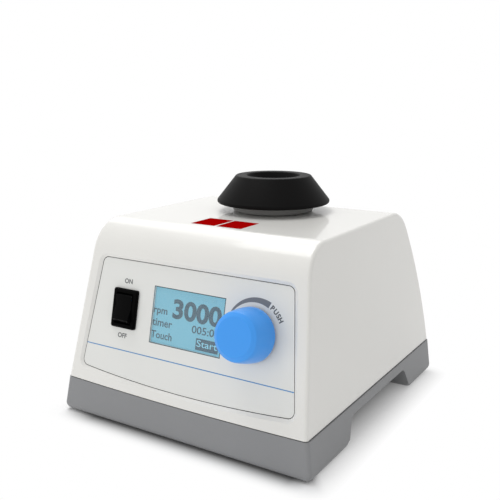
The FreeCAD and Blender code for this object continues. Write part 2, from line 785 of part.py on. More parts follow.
def build_sensor():
    """Sensor board under the windows with an emitter, a receiver and screws."""
    top = inside_top - sensor_drop - fit_gap
    width, depth = sensor_board_size
    front = window_y - depth / 2
    board = block(-width / 2, width / 2, front, front + depth, top - board_thickness, top)
    for hole in sensor_posts(top - 5, top + 1, 1.2):
        board = board.cut(hole)
    lamps = []
    for side in (-1, 1):
        x = side * (window_split + window_size[0]) / 2
        foot = top + fit_gap
        straight = foot + led_height - led_radius
        rim = rod(led_radius + 0.4, foot, foot + 1, x, window_y)
        body = rim.fuse(rod(led_radius, foot, straight, x, window_y))
        dome = Part.makeSphere(led_radius, Vector(x, window_y, straight))
        dome = dome.common(rod(led_radius + 1, straight, straight + 5, x, window_y))
        lamps.append(body.fuse(dome).removeSplitter())
    screws = []
    head = top - board_thickness - fit_gap
    for x in (-sensor_post_x, sensor_post_x):
        shank = rod(1.0, head - 0.1, top + 4, x, window_y)
        screws.append(rod(2.0, head - 1.5, head, x, window_y).fuse(shank))
    return board, lamps[0], lamps[1], Part.makeCompound(screws)


def build_cup():
    """Black rubber cup: dished mouth, conical side, rounded lower edge."""
    hollow = cup_under + flange_thickness + cup_floor
    wide = cup_under + 2.0
    slope = cup_radius - cup_rim_radius
    seat = flange_radius + fit_gap
    seat_top = cup_under + flange_thickness + fit_gap
    outline = [
        (0, hollow), (5.0, hollow), (9.5, hollow + 1.6), (12.6, hollow + 4.4),
        (cup_mouth_radius - 0.6, cup_top - 1.6), (cup_mouth_radius + 0.4, cup_top - 0.3),
        (cup_mouth_radius + 1.4, cup_top), (cup_rim_radius - 1.2, cup_top),
        (cup_rim_radius - 0.2, cup_top - 0.5), (cup_rim_radius + 0.5, cup_top - 1.4),
        (cup_rim_radius + slope * 0.90, wide + 1.6), (cup_radius - 0.3, wide + 0.8),
        (cup_radius, wide), (cup_radius - 0.3, wide - 0.8), (cup_radius - 1.2, wide - 1.5),
        (cup_radius - 2.6, cup_under),
        (seat, cup_under), (seat, seat_top), (0, seat_top),
    ]
    return lathe(outline, 0, head_y)


def bearing_places():
    """Foot heights of the two ball bearings on the crank pin."""
    upper = cup_under - 4.0 - bearing_width
    lower = neck_foot + 1.5
    return lower, upper


def build_hub():
    """Hub: flange in the cup, light disc under it, neck with the bearing bore."""
    top = cup_under + flange_thickness
    upper_end = bearing_places()[1] + bearing_width + fit_gap
    disc_foot = top_z + disc_lift
    disc_top = cup_under - fit_gap
    outline = [
        (0, neck_foot), (neck_radius, neck_foot), (neck_radius, disc_foot),
        (disc_foot_radius - 0.5, disc_foot), (disc_foot_radius, disc_foot + 0.5),
        (disc_radius, disc_top - 0.5), (disc_radius - 0.5, disc_top),
        (flange_radius, disc_top), (flange_radius, top), (0, top),
    ]
    hub = lathe(outline, 0, head_y)
    hub = hub.cut(rod(bearing_radius + fit_gap, neck_foot - 1, upper_end, 0, head_y))
    hub = hub.cut(rod(pin_radius + 1.5, upper_end - 1, upper_end + 1.5, 0, head_y))
    return hub.removeSplitter()


def build_head_bearings():
    """Outer and inner rings of both head bearings, and the spacer between."""
    lower, upper = bearing_places()
    split = (pin_radius + bearing_radius) / 2
    outer = []
    inner = []
    for foot in (lower, upper):
        outer.append(ring(bearing_radius, split + 0.6, foot, foot + bearing_width, 0, head_y))
        inner.append(ring(split - 0.6, pin_radius + fit_gap, foot, foot + bearing_width, 0, head_y))
    start = lower + bearing_width + fit_gap
    spacer = ring(pin_radius + 1.2, pin_radius + fit_gap, start, upper - fit_gap, 0, head_y)
    return Part.makeCompound(outer), Part.makeCompound(inner), spacer


def build_crank():
    """Crank on the motor shaft, its offset pin, the clip and the grub screw."""
    pin_top = cup_under - 3.6
    shaft_end = crank_top - 3.0
    crank = rod(crank_radius, crank_foot, crank_top, 0, motor_y)
    crank = crank.fuse(rod(pin_radius + 1.2, crank_top - 0.1, bearing_places()[0] - fit_gap, 0, head_y))
    crank = crank.fuse(rod(pin_radius, crank_top - 0.2, pin_top, 0, head_y)).removeSplitter()
    crank = crank.cut(rod(motor_shaft_radius + fit_gap, crank_foot - 1, shaft_end + fit_gap, 0, motor_y))
    grub = rod(2.0, motor_shaft_radius + 0.2, crank_radius - 0.6)
    hole = rod(2.0 + fit_gap, motor_shaft_radius - 1, crank_radius + 1)
    for tool in (grub, hole):
        tool.rotate(Vector(0, 0, 0), Vector(1, 0, 0), -90)
        tool.translate(Vector(0, motor_y, crank_foot + 6))
    outside = motor_y + crank_radius
    hex_key = block(-1, 1, outside - 2.4, outside, crank_foot + 5, crank_foot + 7)
    return crank.cut(hole), grub.cut(hex_key), shaft_end


def build_weight():
    """Half-ring counterweight opposite the crank pin, with its two screws."""
    foot = crank_foot + 1.0
    disc = ring(weight_radius, crank_radius + fit_gap, foot, foot + weight_height, 0, motor_y)
    reach = 2 * weight_radius
    front_half = block(-reach, reach, motor_y - reach, motor_y - 1.0, foot - 1, foot + weight_height + 1)
    return disc.common(front_half)


def build_motor(shaft_end):
    """Motor can, end caps, magnets, rotor, shaft and bearings."""
    low = motor_foot
    high = plate_foot - fit_gap
    can = ring(motor_radius, motor_radius - motor_wall, low + motor_cap, high - motor_cap, 0, motor_y)
    caps = []
    for foot in (low, high - motor_cap + fit_gap):
        cap = rod(motor_radius, foot, foot + motor_cap - fit_gap, 0, motor_y)
        caps.append(cap.cut(rod(motor_bearing_radius + fit_gap, foot - 1, foot + motor_cap + 1, 0, motor_y)))
    for place in motor_screw_places():
        caps[1] = caps[1].cut(rod(1.5 + fit_gap, high - motor_cap - 1, high + 1, *place))
    inside = motor_radius - motor_wall - fit_gap
    hoop = ring(inside, inside - magnet_thickness, low + motor_cap + 3, high - motor_cap - 3, 0, motor_y)
    gap_front = block(-2, 2, motor_y - motor_radius, motor_y + motor_radius, low, high)
    magnets = hoop.cut(gap_front)
    shaft = rod(motor_shaft_radius, low - 2.0, shaft_end, 0, motor_y)
    start = low + motor_cap + 4
    rotor = ring(rotor_radius, motor_shaft_radius + fit_gap, start, high - motor_cap - 4, 0, motor_y)
    for step in range(6):
        slot = block(-1.0, 1.0, rotor_radius - 4.0, rotor_radius + 1, low, high)
        slot.rotate(Vector(0, 0, 0), Vector(0, 0, 1), 60 * step)
        slot.translate(Vector(0, motor_y, 0))
        rotor = rotor.cut(slot)
    bearings = []
    for foot in (low, high - motor_cap + fit_gap):
        bore = motor_shaft_radius + run_gap
        bearings.append(ring(motor_bearing_radius, bore, foot, foot + motor_cap - fit_gap, 0, motor_y))
    return can, caps[0], caps[1], magnets, rotor, shaft, Part.makeCompound(bearings)


def motor_screw_places():
    return [(sx * motor_screw_circle * 0.7071, motor_y + sy * motor_screw_circle * 0.7071)
            for sx in (-1, 1) for sy in (-1, 1)]


def post_places():
    return [(x, motor_y + dy) for x in (-post_x, post_x) for dy in (-post_spread, post_spread)]


def build_mount():
    """Motor plate on four posts with rubber isolators, and the screws."""
    half_x, half_y = plate_size[0] / 2, plate_size[1] / 2
    plate = rounded_block(-half_x, half_x, motor_y - half_y, motor_y + half_y, plate_foot, plate_top, 5.0)
    plate = plate.cut(rod(motor_bearing_radius + 1.5, plate_foot - 1, plate_top + 1, 0, motor_y))
    posts = []
    isolators = []
    post_screws = []
    motor_screws = []
    for place in motor_screw_places():
        plate = plate.cut(rod(1.7, plate_foot - 1, plate_top + 1, *place))
        head = rod(2.8, plate_top + fit_gap, plate_top + 2.2, *place)
        motor_screws.append(head.fuse(rod(1.5, plate_foot - 3.0, plate_top + 1, *place)))
    for place in post_places():
        plate = plate.cut(rod(isolator_radius - 2.0 + fit_gap, plate_foot - 1, plate_top + 1, *place))
        post_top = plate_foot - isolator_height
        post = rod(post_radius, roof_top + fit_gap, post_top, *place)
        posts.append(post.cut(rod(1.5 + fit_gap, post_top - 12, post_top + 1, *place)))
        grommet = rod(isolator_radius, post_top + fit_gap, plate_foot - fit_gap, *place)
        grommet = grommet.fuse(rod(isolator_radius - 2.0, plate_foot - 0.2, plate_top + 0.6, *place))
        grommet = grommet.fuse(rod(isolator_radius, plate_top + fit_gap, plate_top + 2.4, *place))
        grommet = grommet.cut(rod(1.5 + fit_gap, post_top - 1, plate_top + 5, *place))
        isolators.append(grommet.removeSplitter())
        head = rod(3.4, plate_top + 2.4 + fit_gap, plate_top + 4.6, *place)
        post_screws.append(head.fuse(rod(1.5, post_top - 10, plate_top + 3, *place)))
    return (plate, Part.makeCompound(posts), Part.makeCompound(isolators),
            Part.makeCompound(post_screws), Part.makeCompound(motor_screws))


def build_inlet():
    """Mains inlet with its socket, the three pins and the fuse drawer."""
    flange_back = inlet_face + fit_gap
    flange_front = flange_back + inlet_flange_thickness
    body = inlet_box(inlet_flange, flange_back, flange_front)
    upright = [e for e in body.Edges if e.BoundBox.YLength > 1]
    body = body.makeFillet(2.0, upright)
    body = body.fuse(inlet_box(inlet_body, inlet_face - inlet_depth, flange_back + 0.1)).removeSplitter()
    body = body.cut(socket_shape(flange_front - socket_depth, flange_front + 1))
    drawer_z = inlet_z - drawer_down
    half_w, half_h = drawer_size[0] / 2, drawer_size[1] / 2
    slot = block(-half_w, half_w, flange_front - 14, flange_front + 1, drawer_z - half_h, drawer_z + half_h)
    body = body.cut(slot)
    drawer = block(-half_w + fit_gap, half_w - fit_gap, flange_front - 14 + fit_gap, flange_front + 0.6,
                   drawer_z - half_h + fit_gap, drawer_z + half_h - fit_gap)
    grip = block(-4, 4, flange_front - 0.6, flange_front + 1, drawer_z + half_h - 1.6, drawer_z + half_h)
    pins = []
    centre = inlet_z + socket_up
    back = flange_front - socket_depth
    tail = inlet_face - inlet_depth - pin_tail

    def pin(x, z, y0, y1, grow):
        half = pin_width / 2 + grow
        reach = pin_height / 2 + grow
        return block(x - half, x + half, y0, y1, z - reach, z + reach)

    for x, up in ((-pin_pitch, -pin_offset), (0, pin_offset), (pin_pitch, -pin_offset)):
        body = body.cut(pin(x, centre + up, tail, back + 1, fit_gap))
        pins.append(pin(x, centre + up, tail, back + pin_length, 0.0))
    return body, Part.makeCompound(pins), drawer.cut(grip)


def socket_shape(y0, y1):
    """Inlet cavity: a rectangle with its two upper corners cut off."""
    half = socket_size[0] / 2
    low = inlet_z + socket_up - socket_size[1] / 2
    high = low + socket_size[1]
    cut = socket_corner
    points = [
        (-half, low), (half, low), (half, high - cut),
        (half - cut, high), (cut - half, high), (-half, high - cut),
    ]
    corners = [Vector(x, y0, z) for x, z in points]
    return Part.Face(Part.makePolygon(corners + [corners[0]])).extrude(Vector(0, y1 - y0, 0))


def supply_screw_places():
    low = supply_y[0] + pillar_inset
    high = supply_y[1] - pillar_inset
    inner = supply_half_width - pillar_inset
    return [(x, y) for x in (-inner, inner) for y in (low, high)]


def build_supply():
    """Power supply board, its transformer, capacitors, heat sink and screws."""
    y0, y1 = supply_y
    board = block(-supply_half_width, supply_half_width, y0, y1, supply_foot, supply_top)
    screws = []
    for place in supply_screw_places():
        board = board.cut(rod(screw_radius, supply_foot - 1, supply_top + 1, *place))
        head = rod(2.6, supply_top + fit_gap, supply_top + 2.0, *place)
        shank = rod(supply_screw_radius, supply_foot - supply_lift * 0.8, supply_top + 1, *place)
        screws.append(head.fuse(shank))
    foot = supply_top + fit_gap
    middle = (y0 + y1) / 2

    def upright(x, size, lift=0.0):
        low = foot + lift
        half, reach = size[0] / 2, size[1] / 2
        return block(x - half, x + half, middle - reach, middle + reach, low, low + size[2])

    coil_lift = (transformer_core[2] - transformer_coil[2]) / 2
    coil = upright(transformer_x, transformer_coil, coil_lift)
    transformer = upright(transformer_x, transformer_core).fuse(coil)
    capacitors = []
    for side in (-1, 1):
        x = capacitor_x + side * capacitor_pitch / 2
        capacitors.append(rod(capacitor_radius, foot, foot + capacitor_height, x, middle))
    sink = upright(sink_x, sink_size)
    groove = (sink_size[1] - fin_count * fin_thickness) / (fin_count - 1)
    x0, x1 = sink_x - sink_size[0], sink_x + sink_size[0]
    high = foot + 2 * sink_size[2]
    for step in range(fin_count - 1):
        start = middle - sink_size[1] / 2 + fin_thickness + step * (fin_thickness + groove)
        sink = sink.cut(block(x0, x1, start, start + groove, foot + sink_plate, high))
    return board, transformer.removeSplitter(), Part.makeCompound(capacitors), sink, Part.makeCompound(screws)


def main():
    os.makedirs("parts", exist_ok=True)
    save("upper_shell", build_shell())
    save("base_tray", build_base())
    save("foot_pads", build_pads())
    save("case_screws", build_case_screws())

    save("control_panel", on_front(build_panel()))
    save("display_window", on_front(build_display_window()))
    for name, shape in zip(("lcd_cell", "lcd_frame"), build_lcd()):
        save(name, on_front(shape))
    for name, shape in zip(("switch_housing", "switch_rocker", "switch_terminals"), build_switch()):
        save(name, on_front(shape))
    housing, nut, shaft, plunger, shaft_top = build_encoder()
    save("encoder_housing", on_front(housing))
    save("encoder_nut", on_front(nut))
    save("encoder_shaft", on_front(shaft))
    save("encoder_plunger", on_front(plunger))
    for name, shape in zip(("control_knob", "knob_bush"), build_knob(shaft_top)):
        save(name, on_front(shape))
    for name, shape in zip(("control_board", "board_standoffs", "board_screws"), build_control_board()):
        save(name, on_front(shape))

    for name, shape in zip(("sensor_window_left", "sensor_window_right"), build_windows()):
        save(name, shape)
    for name, shape in zip(("sensor_board", "ir_emitter", "ir_receiver", "sensor_screws"), build_sensor()):
        save(name, shape)

    save("mixing_cup", build_cup())
    save("cup_hub", build_hub())
    bearing_names = ("head_bearing_outer", "head_bearing_inner", "bearing_spacer")
    for name, shape in zip(bearing_names, build_head_bearings()):
        save(name, shape)
    crank, grub, shaft_end = build_crank()
    save("crank", crank)
    save("crank_grub_screw", grub)
    save("counterweight", build_weight())
    motor_names = ("motor_can", "motor_cap_lower", "motor_cap_upper", "motor_magnets",
                   "motor_rotor", "motor_shaft", "motor_bearings")
    for name, shape in zip(motor_names, build_motor(shaft_end)):
        save(name, shape)
    mount_names = ("motor_plate", "motor_posts", "motor_isolators", "post_screws", "motor_screws")
    for name, shape in zip(mount_names, build_mount()):
        save(name, shape)

    for name, shape in zip(("mains_inlet", "inlet_pins", "fuse_drawer"), build_inlet()):
        save(name, shape)
    supply_names = ("supply_board", "transformer", "capacitors", "heat_sink", "supply_screws")
    for name, shape in zip(supply_names, build_supply()):
        save(name, shape)


main()
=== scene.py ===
"""Dresses the bench vortex mixer: finishes, printed marks, display and studio."""
import json
import logging
import math
from dataclasses import dataclass
from enum import Enum
from typing import Mapping, Sequence

import bmesh
import bpy
from mathutils import Matrix, Vector


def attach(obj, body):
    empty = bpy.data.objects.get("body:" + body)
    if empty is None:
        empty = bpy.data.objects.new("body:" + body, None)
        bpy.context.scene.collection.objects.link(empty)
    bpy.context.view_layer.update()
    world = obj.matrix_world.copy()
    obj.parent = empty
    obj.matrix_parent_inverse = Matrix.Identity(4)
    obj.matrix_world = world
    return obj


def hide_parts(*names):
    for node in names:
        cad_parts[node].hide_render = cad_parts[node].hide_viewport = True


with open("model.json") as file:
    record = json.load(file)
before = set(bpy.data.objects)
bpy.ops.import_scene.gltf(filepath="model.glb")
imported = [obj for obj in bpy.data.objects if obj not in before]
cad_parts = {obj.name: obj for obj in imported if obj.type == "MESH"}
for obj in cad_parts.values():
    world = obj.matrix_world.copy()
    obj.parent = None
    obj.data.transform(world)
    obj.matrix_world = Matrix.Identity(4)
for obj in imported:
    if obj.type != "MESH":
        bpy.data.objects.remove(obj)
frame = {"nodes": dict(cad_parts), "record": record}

logging.basicConfig(level=logging.INFO, format="%(name)s: %(message)s")
LOG = logging.getLogger("mixer")

Pair = tuple[float, float]
Triple = tuple[float, float, float]

MM = 0.001              # one millimetre in the frame's metres
MM_PER_M = 1000.0
MERGE = 1e-4            # points closer than this, in millimetres, are one
PHOTO_SIDE = 500        # pixels along the photograph's side
SENSOR = 36.0           # width of the camera's sensor in millimetres
WHITE = (1.0, 1.0, 1.0)

DRIFT_CELLS = 0.03      # cells of a colour's slow drift per millimetre
DRIFT_DETAIL = 3.0
GRAIN_DETAIL = 2.0
MIX_COLOURS = (6, 7)    # inputs of a Mix node that take its two colours
MIX_RESULT = 2          # and the output that gives the mixed one

ARC_STEPS = 6           # segments in the arc at an outline's corner
TURN_STEPS = 128        # segments round a turned piece
BEVEL_STEPS = 3         # segments across a softened edge
RIM_ANGLE = 40.0        # edges over this angle, in degrees, are softened
SMOOTH_ANGLE = 35.0     # edges under this angle, in degrees, are shaded smooth
CAP_SHARE = 0.72        # height of a capital in the built-in font
LETTER_STEPS = 4        # segments in a letter's curves
INK_THICK = 0.02        # thickness of a printed plate in millimetres


class Body(Enum):
    """Bodies of the frame that new pieces ride on."""

    CASE = "case"
    CUP = "cup"
    ROCKER = "rocker"
    KNOB = "knob"


class Sock:
    """A shader value that takes part in arithmetic like a number."""

    def __init__(self, graph: "Graph", socket: bpy.types.NodeSocket) -> None:
        """Wrap a socket of a graph."""
        self.graph = graph
        self.socket = socket

    def __add__(self, other: "Sock | float") -> "Sock":
        """Sum of two values."""
        return self.graph.maths("ADD", self, other)

    def __sub__(self, other: "Sock | float") -> "Sock":
        """Difference of two values."""
        return self.graph.maths("SUBTRACT", self, other)

    def __rsub__(self, other: float) -> "Sock":
        """A number less this value."""
        return self.graph.maths("SUBTRACT", other, self)

    def __mul__(self, other: "Sock | float") -> "Sock":
        """Product of two values."""
        return self.graph.maths("MULTIPLY", self, other)

    def __truediv__(self, other: "Sock | float") -> "Sock":
        """Quotient of two values."""
        return self.graph.maths("DIVIDE", self, other)

    def __rtruediv__(self, other: float) -> "Sock":
        """A number divided by this value."""
        return self.graph.maths("DIVIDE", other, self)

    def __gt__(self, limit: float) -> "Sock":
        """One where the value is over a limit, else zero."""
        return self.graph.maths("GREATER_THAN", self, limit)

    def __lt__(self, limit: float) -> "Sock":
        """One where the value is under a limit, else zero."""
        return self.graph.maths("LESS_THAN", self, limit)

    __radd__ = __add__
    __rmul__ = __mul__

    def root(self) -> "Sock":
        """Square root of the value."""
        return self.graph.maths("SQRT", self)

    def clamped(self) -> "Sock":
        """The value held between zero and one."""
        return self.graph.maths("ADD", self, clamp=True)


Number = Sock | float
Value = Number | Sequence[float]


class Graph:
    """Builder of a node tree, in which values are written as expressions."""

    def __init__(self, tree: bpy.types.NodeTree) -> None:
        """Build in a given tree."""
        self.tree = tree

    def node(
        self,
        kind: str,
        settings: Mapping[str, object] | None = None,
        sockets: Mapping[str | int, Value] | None = None,
    ) -> bpy.types.Node:
        """Add a node.

        Args:
            kind: Blender's type of the node.
            settings: Its properties, which are set first.
            sockets: Values or links of its inputs, by name or number.

        Returns:
            The new node.
        """
        made = self.tree.nodes.new(kind)
        for name, setting in (settings or {}).items():
            setattr(made, name, setting)
        for name, value in (sockets or {}).items():
            self.feed(made.inputs[name], value)
        return made

    def feed(self, target: bpy.types.NodeSocket, value: Value) -> None:
        """Link a shader value to a socket, or set a number or colour on it.

        Args:
            target: The socket.
            value: What it gets.
        """
        if isinstance(value, Sock):
            self.tree.links.new(value.socket, target)
        elif isinstance(value, (float, int)):
            target.default_value = value
        else:
            target.default_value = (*value, 1.0)

    def maths(
        self, operation: str, first: Number, second: Number = 0.0, clamp: bool = False,
    ) -> Sock:
        """Add a Math node.

        Args:
            operation: Blender's name of the operation.
            first: First value.
            second: Second value, where the operation takes one.
            clamp: Whether the result is held between zero and one.

        Returns:
            The result.
        """
        settings = {"operation": operation, "use_clamp": clamp}
        return Sock(self, self.node("ShaderNodeMath", settings, {0: first, 1: second}).outputs[0])

    def blend(self, share: Number, low: Value, high: Value) -> Sock:
        """Colour between two colours.

        Args:
            share: Share of the second colour.
            low: First colour.
            high: Second colour.

        Returns:
            The mixed colour.
        """
        sockets = {"Factor": share, **dict(zip(MIX_COLOURS, (low, high)))}
        made = self.node("ShaderNodeMix", {"data_type": "RGBA"}, sockets)
        return Sock(self, made.outputs[MIX_RESULT])

    def layer(self, share: Number, below: Sock, above: Sock) -> Sock:
        """Surface between two surfaces.

        Args:
            share: Share of the upper surface.
            below: Lower surface.
            above: Upper surface.

        Returns:
            The mixed surface.
        """
        made = self.node("ShaderNodeMixShader", sockets={0: share, 1: below, 2: above})
        return Sock(self, made.outputs[0])

    def background_rays(self) -> Sock:
        """Mark the rays that show the background: straight, mirrored or let through.

        Returns:
            A value that is one for such rays, else zero.
        """
        path = self.node("ShaderNodeLightPath")
        found = Sock(self, path.outputs["Is Camera Ray"])
        for kind in ("Is Glossy Ray", "Is Transmission Ray"):
            found = self.maths("MAXIMUM", found, Sock(self, path.outputs[kind]))
        return found


class SurfaceGraph(Graph):
    """Graph of one material with its principled shader."""

    def __init__(self, name: str) -> None:
        """Start a material under a plain name."""
        self.material = bpy.data.materials.new(name)
        self.material.use_nodes = True
        super().__init__(self.material.node_tree)
        self.shader = self.tree.nodes["Principled BSDF"]

    def place(self) -> Sock:
        """Object coordinates, in metres in the frame."""
        return Sock(self, self.node("ShaderNodeTexCoord").outputs["Object"])

    def axis(self, letter: str) -> Sock:
        """One object coordinate in millimetres."""
        split = self.node("ShaderNodeSeparateXYZ", sockets={0: self.place()})
        return Sock(self, split.outputs[letter]) * MM_PER_M

    def noise(self, cells_per_mm: float, detail: float) -> Sock:
        """Smooth noise between zero and one.

        Args:
            cells_per_mm: Cells of the noise along a millimetre.
            detail: Levels of finer noise on top.

        Returns:
            The noise.
        """
        sockets = {"Vector": self.place(), "Scale": cells_per_mm * MM_PER_M, "Detail": detail}
        return Sock(self, self.node("ShaderNodeTexNoise", sockets=sockets).outputs[0])

    def set(self, name: str, value: Value) -> None:
        """Give the shader's input a value."""
        self.feed(self.shader.inputs[name], value)

    def bump(self, height: Sock, depth_mm: float) -> None:
        """Raise the surface.

        Args:
            height: Height between zero and one.
            depth_mm: What a height of one is, in millimetres.
        """
        sockets = {"Strength": 1.0, "Distance": depth_mm * MM, "Height": height}
        self.set("Normal", Sock(self, self.node("ShaderNodeBump", sockets=sockets).outputs[0]))


@dataclass(frozen=True)
class FrontFace:
    """The leaning front: x across, u up the face, h out of it, in millimetres."""

    lean: float = 12.35  # lean of the face from upright, in degrees
    seam_front: float = 77.317  # distance of the seam line in front of the origin
    seam_z: float = 19.6  # height of the seam line
    row_u: float = 42.4  # height of the row of controls up the face
    border_half: float = 68.3  # half width of the recess at the foot of the face
    narrowing: float = 0.106  # by how much that half width shrinks with each step up

    def matrix(self, x: float, u: float, h: float, turn: float = 0.0) -> Matrix:
        """Map local millimetres at a place on the face to the frame in metres.

        Args:
            x: Place across.
            u: Place up the face.
            h: Height out of the face.
            turn: Turn in the plane of the face, clockwise, in degrees.

        Returns:
            The matrix that carries a mesh drawn in millimetres into place.
        """
        base = Matrix.Translation((0.0, -self.seam_front, self.seam_z))
        tilt = Matrix.Rotation(math.radians(90.0 - self.lean), 4, "X")
        there = Matrix.Translation((x, u, h)) @ Matrix.Rotation(math.radians(-turn), 4, "Z")
        return Matrix.Scale(MM, 4) @ base @ tilt @ there


FACE = FrontFace()


@dataclass(frozen=True)
class Finish:
    """One surface finish: colour, sheen, grain and the record's slot."""

    name: str
    slot: str  # material slot in the record
    colour: Triple  # linear base colour
    roughness: float = 0.5
    metallic: float = 0.0  # one for bare metal
    coat: float = 0.0  # share of clear gloss on top
    coat_roughness: float = 0.05  # roughness of that gloss
    grain: float = 1.0  # cells of surface grain per millimetre
    grain_depth: float = 0.01  # depth of that grain in millimetres
    drift: float = 0.03  # share by which the colour drifts over the surface
    wear: float = 0.08  # share by which the roughness varies
    alpha: float = 1.0  # opacity
    glow: float = 0.0  # share of the colour given off as light
    specular: float = 0.5  # strength of the plain reflection

    def tint(self, graph: SurfaceGraph) -> Sock:
        """Colour over the surface, with a slow drift.

        Args:
            graph: Graph of the material.

        Returns:
            The colour.
        """
        low = [c * (1.0 - self.drift) for c in self.colour]
        high = [min(c * (1.0 + self.drift), 1.0) for c in self.colour]
        return graph.blend(graph.noise(DRIFT_CELLS, DRIFT_DETAIL), low, high)

    def build(self) -> bpy.types.Material:
        """Make the procedural material.

        Returns:
            The material.
        """
        graph = SurfaceGraph(self.name)
        graph.set("Base Color", self.tint(graph))
        fine = graph.noise(self.grain, GRAIN_DETAIL)
        smoothest = self.roughness - self.wear / 2
        graph.set("Roughness", (fine * self.wear + smoothest).clamped())
        graph.set("Metallic", self.metallic)
        graph.set("Coat Weight", self.coat)
        graph.set("Coat Roughness", self.coat_roughness)
        graph.set("Specular IOR Level", self.specular)
        graph.bump(fine, self.grain_depth)
        if self.alpha < 1.0:
            graph.set("Alpha", self.alpha)
        if self.glow > 0.0:
            graph.set("Emission Color", self.tint(graph))
            graph.set("Emission Strength", self.glow)
        return graph.material


@dataclass(frozen=True)
class CaseFinish(Finish):
    """Enamel of the case, with painted shade in the groove round the panel."""

    # painted shade: near-black colour standing for the shade that falls in the groove round the
    # panel
    groove_painted_shade: Triple = (0.02, 0.02, 0.02)
    groove_h: Pair = (1.16, 6.0)  # depths below the face between which the groove lies
    groove_u: Pair = (4.0, 70.0)  # heights up the face between which it lies

    def tint(self, graph: SurfaceGraph) -> Sock:
        """Enamel colour, with painted shade below the bevel of the panel's recess.

        Args:
            graph: Graph of the material.

        Returns:
            The colour.
        """
        enamel = super().tint(graph)
        lean = math.radians(FACE.lean)
        forward = graph.axis("Y") + FACE.seam_front
        upward = graph.axis("Z") - FACE.seam_z
        h = upward * math.sin(lean) - forward * math.cos(lean)
        u = upward * math.cos(lean) + forward * math.sin(lean)
        border_x = graph.maths("ABSOLUTE", graph.axis("X")) + u * FACE.narrowing
        # mask of the groove, where painted shade darkens the enamel
        deep = (h < -self.groove_h[0]) * (h > -self.groove_h[1])
        level = (u > self.groove_u[0]) * (u < self.groove_u[1])
        return graph.blend(deep * level * (border_x < FACE.border_half), enamel, self.groove_painted_shade)


class Ink(Enum):
    """Inks of the print and of the display: name, colour, roughness and glow."""

    LETTER = ("letter_ink", (0.10, 0.105, 0.11), 0.5, 0.0)
    EDGE = ("edge_ink", (0.05, 0.08, 0.09), 0.5, 0.0)
    LINE = ("line_ink", (0.075, 0.26, 0.54), 0.45, 0.0)
    ARC = ("arc_ink", (0.165, 0.178, 0.20), 0.45, 0.0)
    SEGMENT = ("segment_ink", (0.04, 0.088, 0.125), 0.6, 0.0)
    SEGMENT_SOFT = ("segment_soft_ink", (0.15, 0.36, 0.45), 0.6, 0.3)
    SEGMENT_CLEAR = ("segment_clear_ink", (0.21, 0.50, 0.62), 0.6, 0.3)

    def build(self) -> bpy.types.Material:
        """Make the ink's material.

        Returns:
            The material.
        """
        name, colour, roughness, glow = self.value
        return Finish(
            name, "panel_white", colour, roughness, grain=6.0, grain_depth=0.002, glow=glow,
        ).build()


